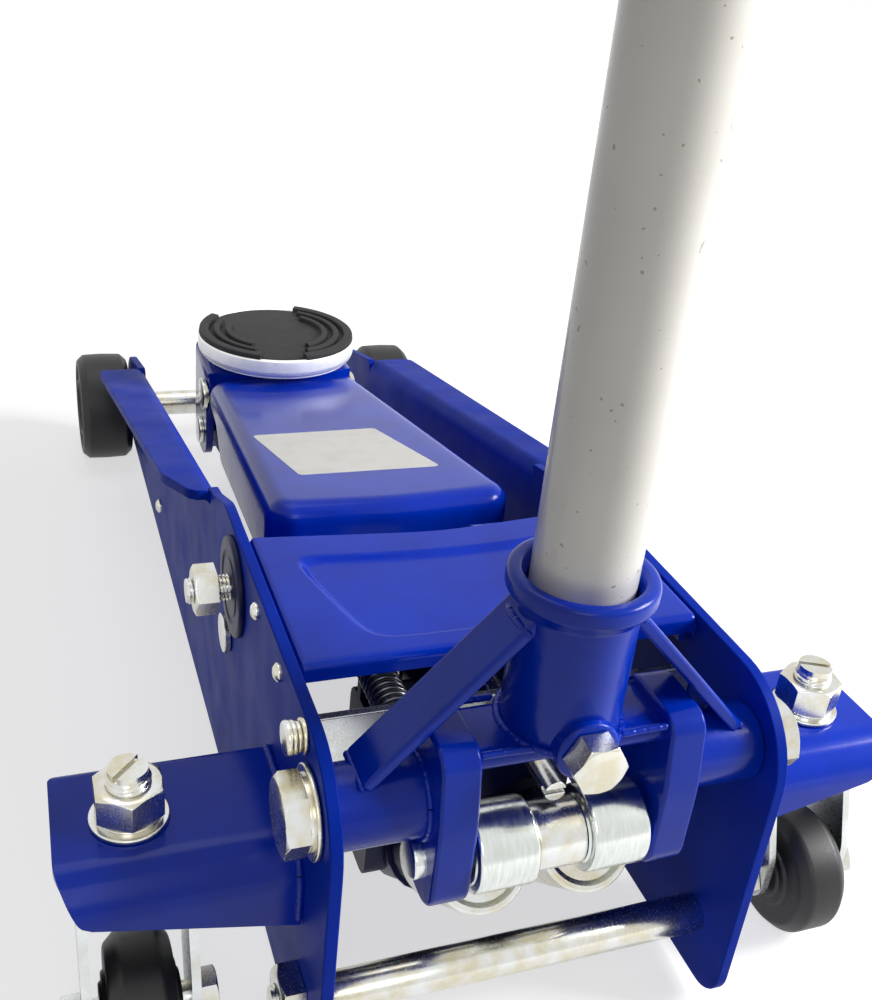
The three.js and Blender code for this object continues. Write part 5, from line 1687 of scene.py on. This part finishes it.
    def build_shaft(self) -> None:
        """Makes the shaft, its broad end faces, the studs and their nuts."""
        y, z = self.pivot
        bodies = [turned([(0, -90.5), (14, -90.5), (14, 90.5), (0, 90.5)], Axis.X.value, (0, y, z), 48)]
        for side in Side:
            s = side.value
            bodies.append(turned([(0, 0), (23, 0, 0.3), (23, 2.5, 1.2), (17, 2.5), (16.4, 1.9, 0.5),
                                  (14, 1.9), (13.4, 2.5), (0, 2.5)], (s, 0, 0), (s * SEAT, y, z), 80))
        make_piece("arm_shaft", bodies, Finish.BLOCK_ENAMEL, "frame", ["arm_pivot_shaft"])
        for side in Side:
            word, s = side.name.lower(), side.value
            stud = threaded(6, 1.5, (s, 0, 0), (s * 92, y, z), 19.8)
            make_piece(f"arm_stud_{word}", [stud], Finish.ZINC, "frame")
            nut = hexagon_head(20, (s, 0, 0), (s * 98.8, y, z), 10, 5.6)
            make_piece(f"arm_nut_{word}", [nut], Finish.ZINC, "frame", [f"arm_pivot_nut_{word}"])

    def build_sticker(self) -> None:
        """Lays a blank sticker with rounded corners on the arm's top."""
        outline = rounded(self.sticker, 6)
        low = np.column_stack([outline, self.top_at(outline[:, 1]) - 0.2])
        high = np.column_stack([outline, self.top_at(outline[:, 1]) + 0.15])
        make_piece("blank_sticker", [surface(np.stack([low, high]), capped=True)], Finish.LABEL, "arm")


@dataclass
class Saddle:
    """The saddle: a bracket kept level, a plated cup that turns, and a ribbed rubber pad."""

    y: float = 465.5
    base: float = 112.3
    cup: float = 54.0
    pad: float = 50.4
    pad_top: float = 134.0
    # Each rib's distance from the middle, half its width, and by how many degrees its ends are shorter.
    ribs: tuple[tuple[float, float, float], ...] = ((50.0, 3.4, 0), (41.4, 2.3, 7), (33.4, 2.3, 16))
    # The two groups' first and last angles in degrees.
    rib_arcs: tuple[tuple[float, float], ...] = ((138, 246), (-80, 63))

    def cup_body(self) -> Body:
        """Turns the cup with its conical underside, rolled rim and stem.

        Returns:
            The body.
        """
        profile = [
            (0, -11), (12, -11, 0.8), (12, 0), (36, 0, 2), (53.2, 7, 4), (self.cup, 10, 3),
            (self.cup, 18.5, 1.2), (51, 18.5, 0.9), (51, 5), (0, 5),
        ]
        return turned(profile, Axis.Z.value, (0, self.y, self.base), 128)

    def pad_bodies(self) -> list[Body]:
        """Draws the pad's disc and two facing groups of three arched ribs.

        Each rib is a rounded bar carried along an arc, shorter towards the middle,
        and the outer two reach over the cup's rim.

        Returns:
            The disc and the ribs.
        """
        crown = self.pad_top - 3
        disc = turned([(0, 117.6), (self.pad, 117.6), (self.pad, crown - 0.4, 1.6), (47, crown), (0, crown)],
                      Axis.Z.value, (0, self.y, 0), 128)
        bodies = [disc]
        for middle, half, shorter in self.ribs:
            low = -1.5 if middle < self.pad - 3 else -0.1
            section = rounded([(-half, low), (half, low), (half - 0.4, 3, 0.9), (0.4 - half, 3, 0.9)], 4)
            for first, last in self.rib_arcs:
                turn = np.radians(np.linspace(first + shorter, last - shorter, 80))
                path = np.stack([middle * np.cos(turn), self.y + middle * np.sin(turn),
                                 np.full_like(turn, crown)], axis=-1)
                bodies.append(carried(section, path))
        return bodies

    def build(self) -> None:
        """Makes the saddle's pieces."""
        soften("saddle_bracket", Finish.PLATE_ENAMEL, Edge(0.8, 2, 40))
        for node, y, z, radius, head in (("saddle_pin", 455.0, 92.0, 8.0, 11.0),
                                         ("radius_rod_pin", 469.0, 58.0, 6.5, 9.5)):
            pin = turned([(0, -54.3), (head, -54.3, 0.8), (head, -51.3), (radius, -51.3), (radius, 51.3),
                          (head, 51.3), (head, 54.3, 0.8), (0, 54.3)], Axis.X.value, (0, y, z), 48)
            make_piece(f"{node}_headed", [pin], Finish.ZINC, "saddle_frame", [node])
        make_piece("plated_cup", [self.cup_body()], Finish.GALVANISED, "saddle", ["saddle_cup"])
        make_piece("ribbed_pad", self.pad_bodies(), Finish.RUBBER, "saddle", ["saddle_pad"])
        for side in Side:
            word = side.name.lower()
            soften(f"radius_rod_{word}", Finish.PLATE_ENAMEL, Edge(0.5, 2, 40))
            soften(f"radius_rod_stub_{word}", Finish.ZINC, Edge(0.5, 2, 40))


@dataclass
class RearCorner:
    """One rear corner: the bent wing on the cheek, and the caster that turns under it."""

    side: Side
    # The swivel's place across and along the jack.
    king: tuple[float, float] = (148.0, 38.0)
    wing_top: float = 106.0
    wing_crease: float = 95.0
    wing_from: float = SEAT
    wing_tip: float = 176.0
    # How high the nut's seat lies over the wing.
    nut_rise: float = 4.1
    # The fork's top, its plate's and cheeks' thickness, and the room at each side of the wheel.
    fork_top: float = 92.0
    fork_plate: float = 4.0
    fork_cheek: float = 3.5
    fork_room: float = 3.0
    # The king bolt's head height, and its radius over the thread.
    head: float = 4.0
    bolt: float = 8.4
    trail: float = 20.0
    wheel: float = 29.0
    wheel_width: float = 30.0

    def build(self) -> None:
        """Makes the wing, the king bolt and its nut, and the caster."""
        word = self.side.name.lower()
        x, y = self.king[0] * self.side.value, self.king[1]
        make_piece(f"bent_wing_{word}", [part.mirrored(self.side) for part in self.wing_bodies()],
                   Finish.PLATE_ENAMEL, "frame", [f"caster_bracket_{word}"], Edge(0.9, 2, 30))
        make_piece(f"wing_weld_{word}", [self.wing_weld().mirrored(self.side)], Finish.CAST_ENAMEL, "frame")
        washer = turned([(8.7, 0), (14.6, 0, 0.5), (14.6, 1.9, 0.6), (12.2, 1.9), (12.2, 3.7, 0.5),
                         (8.7, 3.7)], Axis.Z.value, (x, y, self.wing_top + GAP), 80, closed=True)
        make_piece(f"king_washer_{word}", [washer], Finish.ZINC, "frame", [f"caster_washer_{word}"])
        nut = hexagon_head(24, Axis.Z.value, (x, y, self.wing_top + self.nut_rise), 13, 8.0,
                           both=True)
        make_piece(f"king_nut_{word}", [nut], Finish.ZINC, "frame", [f"caster_nut_{word}"])
        self.build_king_bolt(word, x, y)
        self.build_caster(word, x, y)

    def wing_outline(self) -> tuple[np.ndarray, np.ndarray]:
        """Draws the bent sheet as seen from the side.

        Returns:
            Its outer and inner lines, point for point.
        """
        top, crease = self.wing_top, self.wing_crease
        outer = [(69, top - 12), (69, top, 5), (16, top, 14), (5, crease, 14), (5, 80)]
        inner = [(64, top - 12), (64, top - 5, 0.6), (18.07, top - 5, 9), (10, crease - 2.07, 9), (10, 80)]
        return rounded(outer, 10, closed=False), rounded(inner, 10, closed=False)

    def wing_bodies(self) -> list[Body]:
        """Draws the right wing's bent sheet and the web that closes it against the cheek.

        Each point of the sheet's line is carried from the cheek to the wing's tip.
        The tip draws in by r - sqrt(r^2 - d^2) where the line is within r of its
        two ends, and leans in with the height below the top.

        Returns:
            The sheet and the web.
        """
        lines = self.wing_outline()
        y, z = lines[0][:, 0], lines[0][:, 1]
        near = np.clip(8 - np.minimum(y - 5, 69 - y), 0, 8)
        tip = np.minimum(self.wing_tip - 8 + np.sqrt(64 - near ** 2),
                         self.wing_tip - (self.wing_top - z) * 8 / 18)
        share = np.linspace(0, 1, 26)
        x = self.wing_from + (tip[:, None] - self.wing_from) * share[None, :]
        faces = []
        for drawn in lines:
            face = np.stack([x, np.repeat(drawn[:, :1], len(share), axis=1),
                             np.repeat(drawn[:, 1:], len(share), axis=1)], axis=-1)
            face[-1, :, 2] = 70 + (face[-1, :, 0] - self.wing_from) * 18 / 78
            faces.append(face)
        sheet = surface(np.concatenate([faces[0], faces[1][:, ::-1]], axis=1), capped=True)
        web = prism(rounded([(7.5, 71), (66.5, 82, 12), (66.5, 103), (18.5, 103), (7.5, 94)]), Axis.X,
                    self.wing_from, self.wing_from + 5)
        return [sheet, web]

    def wing_weld(self) -> Body:
        """Lays the bead that joins the right wing to the cheek, along the sheet's line.

        Returns:
            The bead.
        """
        outline = self.wing_outline()[0][8:]
        path = np.column_stack([np.full(len(outline), self.wing_from + 1.0), outline])
        path[-1, 2] = 73
        return weld_bead(path, 3.4)

    def build_king_bolt(self, word: str, x: float, y: float) -> None:
        """Makes the threaded, slotted bolt that the caster turns on, with its bearing race.

        Args:
            word: The side's name.
            x: The bolt's place across the jack.
            y: Its place along it.
        """
        low = self.fork_top - self.fork_plate - GAP - self.head
        shank = turned([(0, 0), (14, 0, 0.8), (14, self.head, 0.8), (self.bolt, self.head),
                        (self.bolt, 34), (7.6, 35), (0, 35)],
                       Axis.Z.value, (x, y, low), 48)
        race = turned([(8, 0), (17, 0, 1.2), (17, 3.6), (16.2, 4.1), (17, 4.6), (17, 8.4, 1.2), (8, 8.4)],
                      Axis.Z.value, (x, y, self.fork_top + GAP), 64, closed=True)
        thread = threaded(self.bolt, 2.0, Axis.Z.value, (x, y, 116), 11.6)
        # The slotted end is two halves of a disc, turned as the two slots are in the photograph.
        turn = np.linspace(0.14, math.pi - 0.14, 30)
        half = np.stack([7.3 * np.cos(turn), 7.3 * np.sin(turn)], axis=-1)
        slant = math.radians(47 if self.side is Side.LEFT else -25)
        spin = np.array([[math.cos(slant), math.sin(slant)], [-math.sin(slant), math.cos(slant)]])
        top = [prism(half @ spin * sign + [x, y], Axis.Z, 126.4, 130.0) for sign in (1, -1)]
        make_piece(f"king_screw_{word}", [shank, race, thread, *top], Finish.ZINC, "frame",
                   [f"caster_king_bolt_{word}"])

    def build_caster(self, word: str, x: float, y: float) -> None:
        """Makes the fork, the nylon wheel and its axle.

        Args:
            word: The side's name.
            x: The swivel's place across the jack.
            y: Its place along it.
        """
        soften(f"caster_fork_{word}", Finish.DULL_ZINC, Edge(0.6, 2, 40))
        r, w = self.wheel, self.wheel_width
        profile = [
            (6.3, 0), (11, 0, 0.6), (12, 1.2, 0.6), (15, 1.2, 0.6), (16, 2.6, 1), (r - 8, 2.6, 1),
            (r - 4.5, 2.6, 3), (r, 7.5, 4), (r, w - 7.5, 4), (r - 4.5, w - 2.6, 3), (r - 8, w - 2.6, 1),
            (16, w - 2.6, 1), (15, w - 1.2, 0.6), (12, w - 1.2, 0.6), (11, w, 0.6), (6.3, w),
        ]
        place = (x - w / 2, y - self.trail, r)
        make_piece(f"small_wheel_{word}", [turned(profile, Axis.X.value, place, 80, closed=True)],
                   Finish.NYLON, f"caster_{word}", [f"caster_wheel_{word}"])
        reach = w / 2 + self.fork_room + self.fork_cheek + GAP
        bar = turned([(0, -reach - 1), (6, -reach - 1), (6, reach + 1), (0, reach + 1)], Axis.X.value,
                     (x, y - self.trail, r), 32)
        ends = [hexagon_head(17, (s, 0, 0), (x + s * reach, y - self.trail, r), 7) for s in (-1, 1)]
        make_piece(f"small_axle_{word}", [bar, *ends], Finish.ZINC, f"fork_{word}", [f"caster_axle_{word}"])


@dataclass
class PlateScrews:
    """The small plated screws on the left cheek: two at the cover's hem, one near the front, and a bolt."""

    face: float = -SEAT
    # The bolt's place along the jack and its height, and each screw's, with its head's radius.
    bolt: tuple[float, float] = (14.0, 153.0)
    screws: tuple[tuple[float, float, float], ...] = ((96, 151, 3.8), (54, 151, 3.8), (398, 37, 4.6))

    def dome(self, y: float, z: float, radius: float) -> Body:
        """Turns a low round head on the cheek's outer face.

        Args:
            y: Its place along the jack.
            z: Its height.
            radius: Its radius.

        Returns:
            The body.
        """
        return turned([(0, -2), (radius, -2), (radius, radius * 0.25, radius * 0.3),
                       (radius * 0.55, radius * 0.62, radius * 0.7), (0, radius * 0.66)], (-1, 0, 0),
                      (self.face, y, z), 40)

    def build(self) -> None:
        """Makes the screws."""
        domes = [self.dome(*screw) for screw in self.screws]
        make_piece("plate_screws", domes, Finish.ZINC, "frame")
        washers = [turned([(0, low), (outer, low, 0.5), (outer, low + 1.7, 0.7), (0, low + 1.7)],
                          (-1, 0, 0), (self.face, *self.bolt), 48)
                   for low, outer in ((-0.2, 6.6), (1.6, 5.6), (3.4, 6.2))]
        head = turned([(0, 5), (6.4, 5, 0.6), (6.4, 7.4, 1.6), (2, 8.2, 1), (0, 8.2)], (-1, 0, 0),
                      (self.face, *self.bolt), 48)
        make_piece("plate_bolt", [*washers, head], Finish.ZINC, "frame")


@dataclass
class Handle:
    """The two-part handle of cream tube, with its spring button and rubber grip."""

    tube: float = 18.4
    inner: float = 16.3
    low_top: float = 640.0
    top: float = 1085.0
    grip_bottom: float = 945.0
    # Where the lower tube stands in the socket, the upper tube starts inside it, and the button sits.
    foot: float = 166.3
    upper_foot: float = 560.0
    button: float = 610.0
    ribs: int = 7
    rib_pitch: float = 14.0

    def build(self) -> None:
        """Makes the tubes, the button and the grip."""
        lower = turned([(16.8, self.foot), (self.tube, self.foot, 1), (self.tube, self.low_top, 0.9),
                        (16.8, self.low_top, 0.5)], Axis.Z.value, (0, 0, 0), 96, closed=True)
        make_piece("lower_tube", [lower], Finish.CREAM, "handle", ["handle_tube_lower"])
        button = turned([(0, -2), (5, -2), (5, 1.2, 1.2), (3.2, 2.4, 2.2), (0, 2.4)], (0, -1, 0),
                        (0, -self.tube, self.button), 40)
        make_piece("snap_button", [button], Finish.ZINC, "handle")
        upper = turned([(14.1, self.upper_foot), (self.inner, self.upper_foot, 0.8),
                        (self.inner, self.top, 0.8), (14.1, self.top)], Axis.Z.value, (0, 0, 0), 96,
                       closed=True)
        make_piece("upper_tube", [upper], Finish.CREAM, "handle", ["handle_tube_upper"])
        profile = [(0, self.top + GAP), (16.6, self.top + GAP), (16.6, self.grip_bottom),
                   (19.4, self.grip_bottom, 1.2), (19.4, self.grip_bottom + 3, 1),
                   (18.4, self.grip_bottom + 5, 1)]
        for at in self.grip_bottom + self.rib_pitch * (1 + np.arange(self.ribs)):
            profile += [(18.4, at - 4.6, 1.2), (20, at - 2.6, 1.4), (20, at + 2.6, 1.4),
                        (18.4, at + 4.6, 1.2)]
        profile += [(19.2, self.top - 24, 2), (20, self.top - 18, 3), (20, self.top + GAP, 4),
                    (17, self.top + 6.3, 5), (0, self.top + 6.3)]
        make_piece("ribbed_grip", [turned(profile, Axis.Z.value, (0, 0, 0), 80)],
                   Finish.RUBBER, "handle", ["handle_grip"])


def main() -> None:
    """Loads the frame, builds the studio and every sub-assembly."""
    logging.basicConfig(level=logging.INFO, format="%(name)s: %(message)s")
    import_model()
    bpy.context.scene.view_settings.view_transform = "Standard"
    Studio().build()
    for part in (SidePlates(), FrontAxle(), TieRod(), CoverPlate(), HandleSocket(), PumpRollers(),
                 PumpUnit(), LiftArm(), Saddle(), RearCorner(Side.LEFT), RearCorner(Side.RIGHT),
                 PlateScrews(), Handle()):
        LOG.info("building %s", type(part).__name__)
        part.build()


if __name__ == "__main__":
    main()
